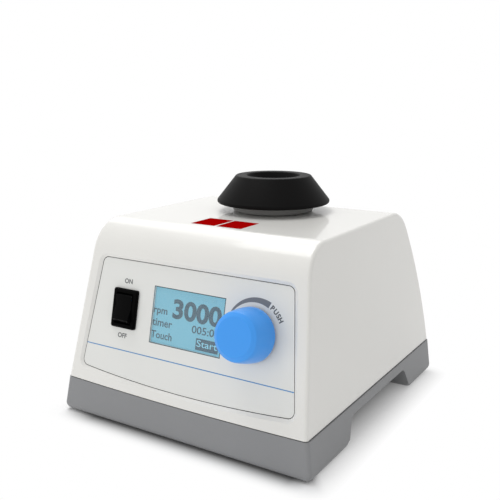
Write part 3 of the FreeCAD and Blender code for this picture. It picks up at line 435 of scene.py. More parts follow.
class Palette:
    """Every finish and ink on the mixer, built once."""

    FINISHES = (
        CaseFinish("white_enamel", "shell_white", (0.79, 0.781, 0.748), 0.32, coat=0.45,
                   coat_roughness=0.05, grain=0.35, grain_depth=0.004, drift=0.012),
        Finish("grey_moulding", "base_grey", (0.25, 0.253, 0.26), 0.48,
               grain=3.0, grain_depth=0.02),
        Finish("black_rubber_pad", "pad_rubber", (0.02, 0.02, 0.02), 0.8,
               grain=2.0, grain_depth=0.04),
        Finish("zinc_screw", "screw_steel", (0.62, 0.61, 0.58), 0.32, metallic=1.0,
               grain=5.0, grain_depth=0.005),
        Finish("panel_film", "panel_white", (0.765, 0.768, 0.742), 0.42, coat=0.1,
               coat_roughness=0.3, grain=4.0, grain_depth=0.006, drift=0.01),
        Finish("clear_lens", "display_lens", (0.75, 0.9, 0.95), 0.06, alpha=0.07,
               grain_depth=0.001),
        Finish("lcd_pale_blue", "lcd_blue", (0.162, 0.40, 0.505), 0.5, glow=0.3,
               grain_depth=0.002, specular=0.2),
        Finish("pressed_steel", "frame_steel", (0.5, 0.5, 0.5), 0.35, metallic=1.0, grain=3.0),
        Finish("switch_plastic", "switch_black", (0.0018, 0.0018, 0.0018), 0.45,
               grain=4.0, grain_depth=0.004, specular=0.02),
        Finish("rocker_plastic", "rocker_black", (0.0022, 0.0022, 0.0022), 0.36,
               grain=4.0, grain_depth=0.003, specular=0.03),
        Finish("plated_brass", "contact_brass", (0.72, 0.56, 0.27), 0.28, metallic=1.0, grain=4.0),
        Finish("encoder_can", "encoder_steel", (0.55, 0.55, 0.55), 0.3, metallic=1.0, grain=4.0),
        Finish("turned_aluminium", "shaft_alu", (0.72, 0.72, 0.73), 0.3, metallic=1.0, grain=4.0),
        Finish("grey_insert", "bush_grey", (0.1, 0.1, 0.1), 0.5),
        Finish("blue_knob", "knob_blue", (0.047, 0.33, 0.90), 0.38, coat=0.3, coat_roughness=0.1,
               grain=3.0, grain_depth=0.006, drift=0.02, specular=0.3),
        Finish("solder_mask", "board_green", (0.015, 0.14, 0.05), 0.4, coat=0.3),
        Finish("red_filter", "window_red", (0.33, 0.0006, 0.0006), 0.3,
               grain=0.5, grain_depth=0.002, specular=0.0),
        Finish("dark_lens", "lamp_dark", (0.05, 0.02, 0.03), 0.1, coat=0.5),
        Finish("cup_rubber", "cup_rubber", (0.0042, 0.004, 0.004), 0.5,
               grain=2.5, grain_depth=0.012, specular=0.06),
        # painted shade: the hub's colour is set darker than its light plastic, standing for the
        # shade under the cup
        Finish("hub_plastic", "hub_white", (0.22, 0.22, 0.215), 0.4, coat=0.2,
               grain=2.0, grain_depth=0.006),
        Finish("ground_steel", "bearing_steel", (0.6, 0.6, 0.6), 0.15, metallic=1.0),
        Finish("turned_steel", "crank_steel", (0.5, 0.5, 0.5), 0.3, metallic=1.0, grain=4.0),
        Finish("machined_iron", "weight_iron", (0.14, 0.14, 0.14), 0.5, metallic=0.8, grain=3.0),
        Finish("motor_paint", "motor_steel", (0.05, 0.05, 0.055), 0.4, coat=0.2),
        Finish("cast_aluminium", "cap_alu", (0.6, 0.6, 0.6), 0.45, metallic=1.0,
               grain=2.0, grain_depth=0.03),
        Finish("ferrite", "magnet_grey", (0.05, 0.05, 0.05), 0.7),
        Finish("lamination", "rotor_steel", (0.35, 0.35, 0.35), 0.4, metallic=1.0),
        Finish("zinc_plate", "plate_steel", (0.6, 0.6, 0.58), 0.35, metallic=1.0),
        Finish("inlet_moulding", "inlet_black", (0.01, 0.01, 0.01), 0.5,
               grain=3.0, grain_depth=0.02),
        Finish("drawer_moulding", "drawer_black", (0.014, 0.014, 0.014), 0.45,
               grain=3.0, grain_depth=0.02),
        Finish("winding_tape", "coil_amber", (0.5, 0.25, 0.04), 0.5),
    )

    def __init__(self) -> None:
        """Build every finish and ink."""
        self.finishes = {finish.slot: finish.build() for finish in self.FINISHES}
        self.inks = {ink: ink.build() for ink in Ink}

    def of(self, slot: str, ink: Ink | None = None) -> bpy.types.Material:
        """Material of an ink, if one is given, or else of a record slot."""
        return self.inks[ink] if ink else self.finishes[slot]

    def dress(self) -> None:
        """Give each CAD node the finish of its record slot."""
        for entry in frame["record"]["subparts"]:
            node = frame["nodes"][entry["node"]]
            node.data.materials.clear()
            node.data.materials.append(self.of(entry["material_slot"]))
            LOG.info("dressed %s as %s", entry["node"], entry["material_slot"])


class Workshop:
    """Turns bmesh work into named pieces that ride on their bodies."""

    def __init__(self, palette: Palette) -> None:
        """Work with the finishes of a palette."""
        self.palette = palette

    def piece(
        self,
        name: str,
        work: bmesh.types.BMesh,
        slot: str,
        body: Body,
        place: Matrix,
        nodes: Sequence[str] = (),
        ink: Ink | None = None,
        smooth: float = SMOOTH_ANGLE,
    ) -> None:
        """Finish one piece.

        Args:
            name: Name of the piece.
            work: Its mesh in millimetres, which is used up.
            slot: Record slot for its finish.
            body: Body it rides on.
            place: Matrix from its own millimetres to the frame.
            nodes: CAD nodes that it stands for.
            ink: Ink in place of that finish.
            smooth: Angle up to which edges are shaded smooth, in degrees.
        """
        bmesh.ops.recalc_face_normals(work, faces=work.faces[:])
        for face in work.faces:
            face.smooth = True
        mesh = bpy.data.meshes.new(name)
        work.to_mesh(mesh)
        work.free()
        mesh.transform(place)
        mesh.set_sharp_from_angle(angle=math.radians(smooth))
        self.adopt(name, mesh, slot, body, nodes, ink)

    def adopt(
        self,
        name: str,
        mesh: bpy.types.Mesh,
        slot: str,
        body: Body,
        nodes: Sequence[str] = (),
        ink: Ink | None = None,
    ) -> None:
        """Make an object of a finished mesh and hang it on its body.

        Args:
            name: Name of the piece.
            mesh: Its mesh, in place in the frame.
            slot: Record slot for its finish.
            body: Body it rides on.
            nodes: CAD nodes that it stands for.
            ink: Ink in place of that finish.
        """
        mesh.materials.clear()
        mesh.materials.append(self.palette.of(slot, ink))
        obj = bpy.data.objects.new(name, mesh)
        bpy.context.scene.collection.objects.link(obj)
        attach(obj, body.value)
        if nodes:
            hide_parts(*nodes)
        LOG.info("piece %s on %s, %d faces", name, body.value, len(mesh.polygons))

    def lettering(
        self,
        name: str,
        words: str,
        height: float,
        place: Matrix,
        slot: str,
        ink: Ink,
        width: float | None = None,
        bold: float = 0.0,
    ) -> None:
        """Print words on the case as a flat mesh, centred on its place.

        Args:
            name: Name of the piece.
            words: The words.
            height: Height of a capital or digit in millimetres.
            place: Matrix from millimetres on the surface to the frame.
            slot: Record slot of the surface that carries the print.
            ink: Its ink.
            width: Width that the words are fitted to, in millimetres.
            bold: Growth of the strokes in millimetres.
        """
        curve = bpy.data.curves.new(name, "FONT")
        curve.body = words
        curve.size = height / CAP_SHARE
        curve.align_x = "CENTER"
        curve.align_y = "CENTER"
        curve.offset = bold
        curve.resolution_u = LETTER_STEPS
        draft = bpy.data.objects.new(name + "_draft", curve)
        bpy.context.scene.collection.objects.link(draft)
        graph = bpy.context.evaluated_depsgraph_get()
        mesh = bpy.data.meshes.new_from_object(draft.evaluated_get(graph))
        bpy.data.objects.remove(draft)
        bpy.data.curves.remove(curve)
        across = [vertex.co.x for vertex in mesh.vertices]
        upward = [vertex.co.y for vertex in mesh.vertices]
        middle = Vector((max(across) + min(across), max(upward) + min(upward), 0.0)) / 2
        fit = width / (max(across) - min(across)) if width else 1.0
        stretch = Matrix.Diagonal((fit, 1.0, 1.0, 1.0))
        mesh.transform(place @ stretch @ Matrix.Translation(-middle))
        self.adopt(name, mesh, slot, Body.CASE, ink=ink)


def rounded_outline(corners: Sequence[Triple]) -> list[Vector]:
    """Open outline of (radius, height, rounding) corners with arcs at the corners.

    Args:
        corners: Points of the outline with the rounding radius of each.

    Returns:
        Points in the XZ plane.
    """
    points = [Vector((r, 0.0, z)) for r, z, _ in corners]
    made = [points[0]]
    for before, here, after, corner in zip(points, points[1:], points[2:], corners[1:]):
        radius = corner[2]
        if radius <= 0.0:
            made.append(here)
            continue
        to_before = (before - here).normalized()
        to_after = (after - here).normalized()
        half = to_before.angle(to_after) / 2
        reach = radius / math.tan(half)
        centre = here + (to_before + to_after).normalized() * (radius / math.sin(half))
        start = here + to_before * reach - centre
        end = here + to_after * reach - centre
        for step in range(ARC_STEPS + 1):
            made.append(centre + start.slerp(end, step / ARC_STEPS) * radius)
    made.append(points[-1])
    return made


def turned(outline: Sequence[Vector]) -> bmesh.types.BMesh:
    """Spin an outline about Z.

    Args:
        outline: Points in the XZ plane.

    Returns:
        The mesh.
    """
    work = bmesh.new()
    verts = [work.verts.new(point) for point in outline]
    edges = [work.edges.new(pair) for pair in zip(verts, verts[1:])]
    bmesh.ops.spin(
        work, geom=verts + edges, cent=(0, 0, 0), axis=(0, 0, 1), angle=math.tau,
        steps=TURN_STEPS, use_merge=True)
    bmesh.ops.remove_doubles(work, verts=work.verts[:], dist=MERGE)
    return work


def ink_plate(width: float, height: float) -> bmesh.types.BMesh:
    """Thin plate of ink, centred.

    Args:
        width: Size along X.
        height: Size along Y.

    Returns:
        The mesh.
    """
    work = bmesh.new()
    bmesh.ops.create_cube(work, size=1.0)
    bmesh.ops.scale(work, vec=(width, height, INK_THICK), verts=work.verts[:])
    return work


def profile_bar(
    outline: Sequence[Pair], width: float, bevel: float,
) -> bmesh.types.BMesh:
    """Bar along X with a closed outline in the YZ plane and softened edges.

    Args:
        outline: Points of the outline.
        width: Length along X, centred.
        bevel: Radius of the softened edges.

    Returns:
        The mesh.
    """
    work = bmesh.new()
    verts = [work.verts.new((-width / 2, y, z)) for y, z in outline]
    face = work.faces.new(verts)
    made = bmesh.ops.extrude_face_region(work, geom=[face])
    moved = [part for part in made["geom"] if isinstance(part, bmesh.types.BMVert)]
    bmesh.ops.translate(work, vec=(width, 0, 0), verts=moved)
    bmesh.ops.recalc_face_normals(work, faces=work.faces[:])
    rims = [edge for edge in work.edges if edge.calc_face_angle(0.0) > math.radians(RIM_ANGLE)]
    bmesh.ops.bevel(
        work, geom=rims, offset=bevel, offset_type="OFFSET", segments=BEVEL_STEPS, profile=0.5,
        affect="EDGES", material=-1, clamp_overlap=True)
    return work


def border(width: float, height: float, edge: float) -> bmesh.types.BMesh:
    """Flat frame round a rectangle.

    Args:
        width: Inner width.
        height: Inner height.
        edge: Width of the frame.

    Returns:
        The mesh in the XY plane.
    """
    work = bmesh.new()
    bmesh.ops.create_grid(work, x_segments=1, y_segments=1, size=0.5)
    outer = (width + 2 * edge, height + 2 * edge, 1.0)
    bmesh.ops.scale(work, vec=outer, verts=work.verts[:])
    ring = bmesh.ops.inset_region(
        work, faces=work.faces[:], thickness=edge, use_boundary=True, use_even_offset=True)
    window = [face for face in work.faces if face not in ring["faces"]]
    bmesh.ops.delete(work, geom=window, context="FACES")
    return work


@dataclass(frozen=True)
class Foot:
    """One foot of the base, between its front and back walls."""

    front: float  # place of the front wall on the underside
    back: float  # place of the back wall on the underside
    front_lean: float  # inward lean of the front wall for each step up
    back_lean: float  # inward lean of the back wall for each step up
    front_corner: float  # radius of the upright corners at the front
    back_corner: float  # radius of the upright corners at the back


@dataclass
class BaseMoulding:
    """Grey base of the case, with the rounded lower edges of a moulding."""

    under_z: float = 0.5  # height of the underside
    half_width: float = 76.7  # half width of the underside
    side_lean: float = 0.1466  # inward lean of the sides for each step up
    rounding: float = 3.6  # radius of the lower edges
    steps: int = 5  # rows of faces on each half of the rounding
    spare: float = 0.6  # height above the rounding of the last row of faces
    slack: float = 0.1  # height over that row up to which faces are still divided
    skin: float = 2.5  # depth within which a surface counts as an outer one
    smooth: float = 4.0  # angle of its smooth shading, in degrees
    parting: float = 5.0  # place between the feet
    # the front and the rear foot
    feet: tuple[Foot, Foot] = (
        Foot(front=-79.417, back=-38.217, front_lean=0.11, back_lean=-0.5,
             front_corner=2.2, back_corner=0.0),
        Foot(front=47.783, back=84.783, front_lean=-0.5, back_lean=-0.0366,
             front_corner=0.0, back_corner=2.2),
    )

    def build(self, shop: Workshop) -> None:
        """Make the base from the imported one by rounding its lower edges.

        Args:
            shop: Workshop that finishes the piece.
        """
        work = bmesh.new()
        work.from_mesh(frame["nodes"]["base_tray"].data)
        bmesh.ops.scale(work, vec=(MM_PER_M, MM_PER_M, MM_PER_M), verts=work.verts[:])
        bmesh.ops.remove_doubles(work, verts=work.verts[:], dist=MERGE)
        self.divide(work)
        for vert in work.verts:
            vert.co = self.rounded(vert.co)
        shop.piece(
            "base_moulding", work, "base_grey", Body.CASE, Matrix.Scale(MM, 4), ("base_tray",),
            smooth=self.smooth)

    def divide(self, work: bmesh.types.BMesh) -> None:
        """Cut rows of faces along the lower edges.

        Args:
            work: Mesh of the base, in millimetres.
        """
        across, along, upward = Matrix.Identity(3)
        rows = [self.rounding * step / self.steps for step in range(1, self.steps + 1)]
        top = self.rounding + self.spare
        cuts = [(upward, self.under_z + row) for row in (*rows, top)]
        for row in rows:
            cuts.extend((across, side * (self.half_width - row)) for side in (-1, 1))
            for foot in self.feet:
                cuts.extend((along, y) for y in (foot.front + row, foot.back - row))
        limit = self.under_z + top + self.slack
        for normal, distance in cuts:
            faces = work.faces[:]
            if normal is not upward:
                faces = [face for face in faces if max(v.co.z for v in face.verts) < limit]
            edges = {edge for face in faces for edge in face.edges}
            verts = {vert for face in faces for vert in face.verts}
            bmesh.ops.bisect_plane(
                work, geom=[*verts, *edges, *faces], dist=MERGE, plane_co=normal * distance,
                plane_no=normal)

    def rounded(self, point: Vector) -> Vector:
        """Place of a point of the sharp base on the rounded one.

        Args:
            point: Place on the base, in millimetres.

        Returns:
            The same place, or one on the rounding if it lies on a lower edge.
        """
        up = point.z - self.under_z
        if up >= self.rounding:
            return point
        foot = self.feet[0] if point.y < self.parting else self.feet[1]
        past_side = self.half_width - self.side_lean * up - abs(point.x)
        past_front = point.y - foot.front - foot.front_lean * up
        past_back = foot.back - foot.back_lean * up - point.y
        if past_front < past_back:
            past_end, lean, corner, inward = past_front, foot.front_lean, foot.front_corner, 1.0
        else:
            past_end, lean, corner, inward = past_back, foot.back_lean, foot.back_corner, -1.0
        radius = corner + (self.rounding - corner) * (1.0 - up / self.rounding)
        way = Vector((max(radius - past_side, 0.0), max(radius - past_end, 0.0)))
        if way.x > 0.0 and way.y > 0.0:
            deep = radius - way.length
            way.normalize()
        elif past_side < past_end:
            deep, way = past_side, Vector((1.0, 0.0))
        else:
            deep, way = past_end, Vector((0.0, 1.0))
        share = (up - deep) / self.rounding
        if share <= -1.0 or min(up, deep) > self.skin:
            return point
        turn = math.pi / 4 * (1.0 - min(share, 1.0))
        new_up = self.rounding * (1.0 - math.sin(turn))
        lean_here = self.side_lean * way.x ** 2 + lean * way.y ** 2
        shift = self.rounding * (1.0 - math.cos(turn)) - deep + lean_here * (new_up - up)
        x = point.x - math.copysign(way.x * shift, point.x)
        return Vector((x, point.y + inward * way.y * shift, self.under_z + new_up))


@dataclass
class MixingHead:
    """Rubber cup on the orbiting hub."""

    axis_y: float = 17.583  # place of its axis behind the origin
    # corners of the dish up to the mouth: radius, height and rounding
    dish: tuple[Triple, ...] = (
        (0.0, 115.1, 0.0), (5.5, 115.1, 4.0), (13.0, 119.9, 3.0), (15.4, 125.0, 1.2))
    # corners of the rim, the wide lower edge and the underside
    flare: tuple[Triple, ...] = (
        (21.4, 125.0, 1.3), (32.3, 111.0, 1.3), (32.1, 109.5, 1.0), (29.3, 109.0, 1.0))
    # corners of the seat for the hub's flange
    seat: tuple[Triple, ...] = (
        (18.05, 109.0, 0.0), (18.05, 111.75, 0.0), (0.0, 111.75, 0.0))

    def build(self, shop: Workshop) -> None:
        """Make the cup.

        Args:
            shop: Workshop that finishes the piece.
        """
        work = turned(rounded_outline((*self.dish, *self.flare, *self.seat)))
        place = Matrix.Scale(MM, 4) @ Matrix.Translation((0.0, self.axis_y, 0.0))
        shop.piece("rubber_cup", work, "cup_rubber", Body.CUP, place, ("mixing_cup",))


@dataclass
class ControlKnob:
    """Blue push knob with a convex side and a flat bevelled front."""

    x: float = 38.508  # place across the face
    foot: float = 0.3  # height of its skirt above the shell's face
    length: float = 15.0  # length from skirt to front
    radius: float = 13.2  # radius at the skirt
    taper: float = 1.9  # by how much the front is narrower
    curve: float = 1.8  # how late the side turns in
    side_steps: int = 12  # steps along the length, of which the side takes the middle ones
    bevel: float = 2.0  # width of the bevel round the front
    bevel_depth: float = 1.2  # depth of that bevel
    hollow: Pair = (9.5, 4.0)  # radius and depth of the hollow behind
    skirt_rounds: Pair = (0.2, 0.35)  # roundings inside and outside the skirt
    front_rounds: Pair = (0.6, 0.5)  # roundings at the start and end of the bevel
    smooth: float = 50.0  # angle of its smooth shading, in degrees

    def build(self, shop: Workshop) -> None:
        """Make the knob.

        Args:
            shop: Workshop that finishes the piece.
        """
        top = self.foot + self.length
        deep = self.foot + self.hollow[1]
        front = self.radius - self.taper
        corners = [
            (0.0, deep, 0.0),
            (self.hollow[0], deep, 0.0),
            (self.hollow[0], self.foot, self.skirt_rounds[0]),
            (self.radius, self.foot, self.skirt_rounds[1]),
        ]
        for step in range(2, self.side_steps - 1):
            share = step / self.side_steps
            wide = self.radius - self.taper * share ** self.curve
            corners.append((wide, self.foot + share * self.length, 0.0))
        corners.append((front, top - self.bevel_depth, self.front_rounds[0]))
        corners.append((front - self.bevel, top, self.front_rounds[1]))
        corners.append((0.0, top, 0.0))
        work = turned(rounded_outline(corners))
        place = FACE.matrix(self.x, FACE.row_u, 0.0)
        shop.piece(
            "push_knob", work, "knob_blue", Body.KNOB, place, ("control_knob",),
            smooth=self.smooth)


@dataclass
class PowerSwitch:
    """Rocker of the power switch, its upper half pressed."""

    x: float = -39.508  # place across the face
    pivot_h: float = -2.3  # height of its pivot
    radius: float = 7.9  # radius of its rounded ends
    end_turn: float = 118.0  # angle from upright to which those ends go, in degrees
    end_steps: int = 8  # steps along each of them
    width: float = 10.6  # width of the rocker
    tilt: float = 9.0  # turn at rest, in degrees
    ridge: float = 4.7  # height of the two ends above the pivot
    dip: float = 3.4  # height of the middle above the pivot
    edge: float = 0.35  # radius of its softened edges
    smooth: float = 30.0  # angle of its smooth shading, in degrees

    def build(self, shop: Workshop) -> None:
        """Make the rocker.

        Args:
            shop: Workshop that finishes the piece.
        """
        first = math.acos(self.ridge / self.radius)
        last = math.radians(self.end_turn)
        outline = [(0.0, self.dip)]
        for step in range(self.end_steps + 1):
            turn = first + (last - first) * step / self.end_steps
            outline.append((-self.radius * math.sin(turn), self.radius * math.cos(turn)))
        outline.extend((-y, z) for y, z in reversed(outline[1:]))
        work = profile_bar(outline, self.width, self.edge)
        tip = Matrix.Rotation(math.radians(-self.tilt), 4, "X")
        place = FACE.matrix(self.x, FACE.row_u, self.pivot_h) @ tip
        shop.piece(
            "rocker", work, "rocker_black", Body.ROCKER, place, ("switch_rocker",),
            smooth=self.smooth)


@dataclass(frozen=True)
class Readout:
    """One word or figure on the display."""

    name: str
    words: str
    height: float  # height of a capital or digit
    across: float  # place of its middle, as a share of the window's width from the left
    down: float  # the same, as a share of the window's height from the top
    width: float  # width of the whole
    bold: float = 0.0  # growth of the strokes
    lift: float = 0.0  # height above the other segments
    ink: Ink = Ink.SEGMENT


@dataclass
class Display:
    """Segments and words shown on the display."""

    width: float = 43.0  # width of the window
    height: float = 28.5  # height of the window
    h: float = -1.925  # height of the ink above the shell's face
    slot: str = "lcd_blue"  # record slot of the surface that carries the ink
    box_size: Pair = (13.4, 5.8)  # width and height of the box behind the start word
    box_place: Pair = (0.806, 0.862)  # shares of the window across and down at its middle
    readouts: tuple[Readout, ...] = (
        Readout("digits_speed", "3000", 9.35, 0.622, 0.335, 29.6, 0.46),
        Readout("word_speed", "rpm", 3.7, 0.10, 0.447, 8.8, 0.1),
        Readout("word_timer", "timer", 4.0, 0.142, 0.63, 12.7, 0.1),
        Readout("word_mode", "Touch", 3.8, 0.148, 0.85, 13.4, 0.1),
        Readout("digits_timer", "005:00", 3.8, 0.767, 0.624, 16.5, 0.08),
        Readout("word_start", "Start", 3.4, 0.806, 0.845, 12.2, 0.02, 0.015, Ink.SEGMENT_CLEAR),
        Readout("faint_row", "00  00  00", 1.7, 0.72, 0.085, 14.0, ink=Ink.SEGMENT_SOFT),
    )

    def at(self, across: float, down: float, lift: float = 0.0) -> Matrix:
        """Place on the window.

        Args:
            across: Share of the width from the left.
            down: Share of the height from the top.
            lift: Height above the ink.

        Returns:
            The matrix that carries a mesh drawn in millimetres into place.
        """
        x = self.width * (across - 0.5)
        u = FACE.row_u + self.height * (0.5 - down)
        return FACE.matrix(x, u, self.h + lift)

    def build(self, shop: Workshop) -> None:
        """Draw the words and figures.

        Args:
            shop: Workshop that finishes the pieces.
        """
        box, place = ink_plate(*self.box_size), self.at(*self.box_place)
        shop.piece("start_box", box, self.slot, Body.CASE, place, ink=Ink.SEGMENT)
        for mark in self.readouts:
            place = self.at(mark.across, mark.down, mark.lift)
            shop.lettering(
                mark.name, mark.words, mark.height, place, self.slot, mark.ink,
                width=mark.width, bold=mark.bold)


@dataclass
class PanelPrint:
    """Plain print on the control panel: switch words, line and knob arc."""

    h: float = -1.07  # height of the print above the shell's face
    slot: str = "panel_white"  # record slot of the surface that carries the print
    # place across and up the face of each word by the switch
    switch_words: tuple[tuple[str, float, float], ...] = (
        ("ON", -39.4, 56.8),
        ("OFF", -39.9, 28.1),
    )
    switch_height: float = 2.5  # height of those words
    switch_bold: float = 0.08  # growth of their strokes
    line_u: float = 20.4  # height of the blue line up the face
    line_size: Pair = (127.2, 0.5)  # its length and thickness
    edge_width: float = 0.4  # width of the dark edge round the display
    arc_inner: float = 15.2  # inner radius of the arc round the knob
    arc_ends: Pair = (-72.0, 27.0)  # first and last angle of the arc, clockwise from upright
    arc_widths: Pair = (0.25, 3.1)  # width of the arc at its first and last angle
    arc_swell: float = 0.85  # how evenly its width grows: one for evenly
    arc_steps: int = 40  # steps along it
    push_radius: float = 16.7  # radius on which the push word stands
    # angle of each of its letters, clockwise from upright
    push_turns: tuple[float, float, float, float] = (33.4, 41.8, 49.8, 57.2)
    push_height: float = 2.4  # height of those letters
    push_bold: float = 0.12  # growth of their strokes

    def build(self, shop: Workshop, knob: ControlKnob, display: Display) -> None:
        """Print the panel.

        Args:
            shop: Workshop that finishes the pieces.
            knob: Knob that the arc goes round.
            display: Display that gets an edge.
        """
        for word, x, u in self.switch_words:
            shop.lettering(
                "word_" + word.lower(), word, self.switch_height, FACE.matrix(x, u, self.h),
                self.slot, Ink.LETTER, bold=self.switch_bold)
        frame_round = border(display.width, display.height, self.edge_width)
        flats = (
            ("panel_line", ink_plate(*self.line_size), 0.0, self.line_u, Ink.LINE),
            ("display_edge", frame_round, 0.0, FACE.row_u, Ink.EDGE),
            ("knob_arc", self.knob_arc(), knob.x, FACE.row_u, Ink.ARC),
        )
        for name, work, x, u, ink in flats:
            shop.piece(name, work, self.slot, Body.CASE, FACE.matrix(x, u, self.h), ink=ink)
        for letter, turn in zip("PUSH", self.push_turns):
            x = knob.x + self.push_radius * math.sin(math.radians(turn))
            u = FACE.row_u + self.push_radius * math.cos(math.radians(turn))
            shop.lettering(
                "push_" + letter.lower(), letter, self.push_height,
                FACE.matrix(x, u, self.h, turn), self.slot, Ink.LETTER, bold=self.push_bold)

    def knob_arc(self) -> bmesh.types.BMesh:
        """Flat band round the knob that swells clockwise.

        Returns:
            The mesh, centred on the knob.
        """
        work = bmesh.new()
        rows = []
        start, end = self.arc_ends
        thin, wide = self.arc_widths
        for step in range(self.arc_steps + 1):
            share = step / self.arc_steps
            turn = math.radians(start + (end - start) * share)
            way = Vector((math.sin(turn), math.cos(turn), 0.0))
            outer = self.arc_inner + thin + (wide - thin) * share ** self.arc_swell
            rows.append((work.verts.new(way * self.arc_inner), work.verts.new(way * outer)))
        for (low, high), (next_low, next_high) in zip(rows, rows[1:]):
            work.faces.new((low, high, next_high, next_low))
        return work


@dataclass(frozen=True)
class Softbox:
    """One rectangular lamp, in metres."""

    name: str
    place: Triple
    size: Pair  # its width and height
    watts: float
    mirrored: bool = True  # whether glossy surfaces show it

    def hang(self, aim: Sequence[float]) -> None:
        """Hang the lamp so that it points at a place.

        Args:
            aim: The place.
        """
        light = bpy.data.lights.new(self.name, "AREA")
        light.shape = "RECTANGLE"
        light.size, light.size_y = self.size
        light.energy = self.watts
        obj = bpy.data.objects.new(self.name, light)
        obj.location = self.place
        way = Vector(aim) - Vector(self.place)
        obj.rotation_euler = way.to_track_quat("-Z", "Y").to_euler()
        obj.visible_glossy = self.mirrored
        bpy.context.scene.collection.objects.link(obj)


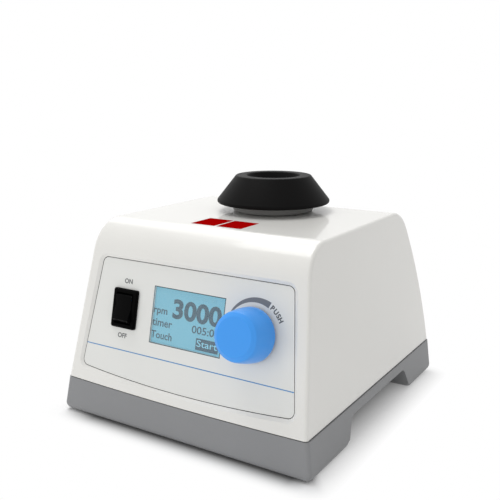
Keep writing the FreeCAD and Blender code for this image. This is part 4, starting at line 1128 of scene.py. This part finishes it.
@dataclass
class Studio:
    """Pale floor, soft light and the camera."""

    azimuth: float = 32.05  # camera round the object, from the front to the right, in degrees
    elevation: float = 12.60  # camera above the horizon, in degrees
    distance: float = 449.81  # camera from its target, in millimetres
    target: Triple = (-24.08, 30.713, 75.40)  # point that the camera looks at, in millimetres
    focal_px: float = 725.99  # focal length in pixels of the photograph
    near: float = 0.01  # nearest distance that the camera shows, in metres
    floor_side: float = 12.0  # side of the floor in metres
    floor_colour: Triple = (0.96, 0.96, 0.96)
    floor_roughness: float = 0.9
    floor_specular: float = 0.1  # strength of the floor's reflection
    # half width and half depth of the base on the floor, in millimetres
    foot_half: Pair = (75.0, 77.0)
    fade_start: float = 0.32  # share of white in the floor beside the base
    fade_over: float = 20.0  # distance beside the base at which the floor is all white
    fade_ahead: float = 15.5  # distance before the base at which the floor is all white
    fade_inside: float = 20.0  # distance under the base at which the floor shows no white
    front_from: float = 9.0  # distance behind the base's front at which the front's shadow starts
    front_over: float = 6.0  # distance over which it then takes over from the side's
    shade_ahead: float = 0.74  # strength of the painted shadow along the foot of the front
    shade_under: float = 0.85  # strength of the painted shadow under the base
    # distances from the left and right end over which the front's painted shadow grows
    shade_ends: Pair = (20.0, 9.0)
    world_light: float = 0.62  # strength of the even light from all round
    aim: Triple = (0.0, 0.0, 0.06)  # point that the lamps look at, in metres
    lamps: tuple[Softbox, ...] = (
        Softbox("rear_left_softbox", (-0.67, 0.60, 0.95), (0.8, 0.8), 2.9),
        Softbox("upper_left_softbox", (-0.35, 0.02, 1.15), (0.7, 0.5), 4.6),
        Softbox("front_left_softbox", (-0.6, -1.3, 0.25), (0.8, 0.8), 3.85, mirrored=False),
    )

    def build(self) -> None:
        """Set up floor, world, lamps and camera."""
        self.floor()
        self.world()
        for lamp in self.lamps:
            lamp.hang(self.aim)
        self.camera()
        bpy.context.scene.view_settings.view_transform = "Standard"

    def floor(self) -> None:
        """Lay the floor."""
        work = bmesh.new()
        bmesh.ops.create_grid(work, x_segments=1, y_segments=1, size=self.floor_side / 2)
        mesh = bpy.data.meshes.new("studio_floor")
        work.to_mesh(mesh)
        work.free()
        graph = SurfaceGraph("studio_floor")
        graph.set("Base Color", self.floor_colour)
        graph.set("Roughness", self.floor_roughness)
        graph.set("Specular IOR Level", self.floor_specular)
        self.fade(graph)
        mesh.materials.append(graph.material)
        obj = bpy.data.objects.new("studio_floor", mesh)
        bpy.context.scene.collection.objects.link(obj)

    def fade(self, graph: SurfaceGraph) -> None:
        """Let the floor pass from the shadow round the base, partly lit and partly painted, into
        the background's white.

        Args:
            graph: Graph of the floor's material.
        """
        side, end = (
            graph.maths("ABSOLUTE", graph.axis(letter)) - half
            for letter, half in zip("XY", self.foot_half))
        past_side, past_end = (graph.maths("MAXIMUM", past, 0.0) for past in (side, end))
        away = (past_side * past_side + past_end * past_end).root()
        outside = (graph.maths("MAXIMUM", side, end) / self.fade_inside + 1.0).clamped()
        ahead = -self.foot_half[1] - graph.axis("Y")
        front = ((ahead - past_side + self.front_from) / self.front_over).clamped()
        rise = (away / self.fade_ahead).clamped()
        rise = rise * rise * (3.0 - 2.0 * rise)
        beside = (away / self.fade_over + self.fade_start).clamped()
        white = (beside * (1.0 - front) + rise * front) * outside
        front_painted_shadow = front * (1.0 - rise) * self.shade_ahead
        for way, over in zip((1.0, -1.0), self.shade_ends):
            front_painted_shadow = front_painted_shadow * ((graph.axis("X") * way + self.foot_half[0]) / over).clamped()
        # painted shadow: black light laid over the floor along the base's front and under the base
        dark = graph.maths("MAXIMUM", front_painted_shadow, (1.0 - outside) * self.shade_under)
        seen = graph.background_rays()
        surface = Sock(graph, graph.shader.outputs[0])
        for tone, share in ((0.0, dark), (1.0, white)):
            plain = graph.node("ShaderNodeEmission", sockets={"Color": (tone, tone, tone)})
            surface = graph.layer(share * seen, surface, Sock(graph, plain.outputs[0]))
        graph.feed(graph.tree.nodes["Material Output"].inputs["Surface"], surface)

    def world(self) -> None:
        """Light the scene evenly from all round, before a plain white background."""
        world = bpy.data.worlds.new("studio_light")
        world.use_nodes = True
        graph = Graph(world.node_tree)
        soft = graph.tree.nodes["Background"]
        graph.feed(soft.inputs["Color"], WHITE)
        graph.feed(soft.inputs["Strength"], self.world_light)
        seen = graph.node("ShaderNodeBackground", sockets={"Color": WHITE, "Strength": 1.0})
        below, above = (Sock(graph, node.outputs[0]) for node in (soft, seen))
        surface = graph.layer(graph.background_rays(), below, above)
        graph.feed(graph.tree.nodes["World Output"].inputs["Surface"], surface)
        bpy.context.scene.world = world

    def camera(self) -> None:
        """Set the camera at the photograph's viewpoint."""
        data = bpy.data.cameras.new("photo_camera")
        data.sensor_width = SENSOR
        data.lens = self.focal_px * SENSOR / PHOTO_SIDE
        data.clip_start = self.near
        obj = bpy.data.objects.new("photo_camera", data)
        turn = math.radians(self.azimuth)
        rise = math.radians(self.elevation)
        level = Vector((math.sin(turn), -math.cos(turn), 0.0)) * math.cos(rise)
        away = level + Vector((0.0, 0.0, math.sin(rise)))
        obj.location = (Vector(self.target) + away * self.distance) * MM
        obj.rotation_euler = (-away).to_track_quat("-Z", "Y").to_euler()
        bpy.context.scene.collection.objects.link(obj)
        bpy.context.scene.camera = obj


def main() -> None:
    """Dress the frame."""
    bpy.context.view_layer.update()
    palette = Palette()
    palette.dress()
    shop = Workshop(palette)
    BaseMoulding().build(shop)
    MixingHead().build(shop)
    knob = ControlKnob()
    knob.build(shop)
    PowerSwitch().build(shop)
    display = Display()
    display.build(shop)
    PanelPrint().build(shop, knob, display)
    Studio().build()


if __name__ == "__main__":
    main()
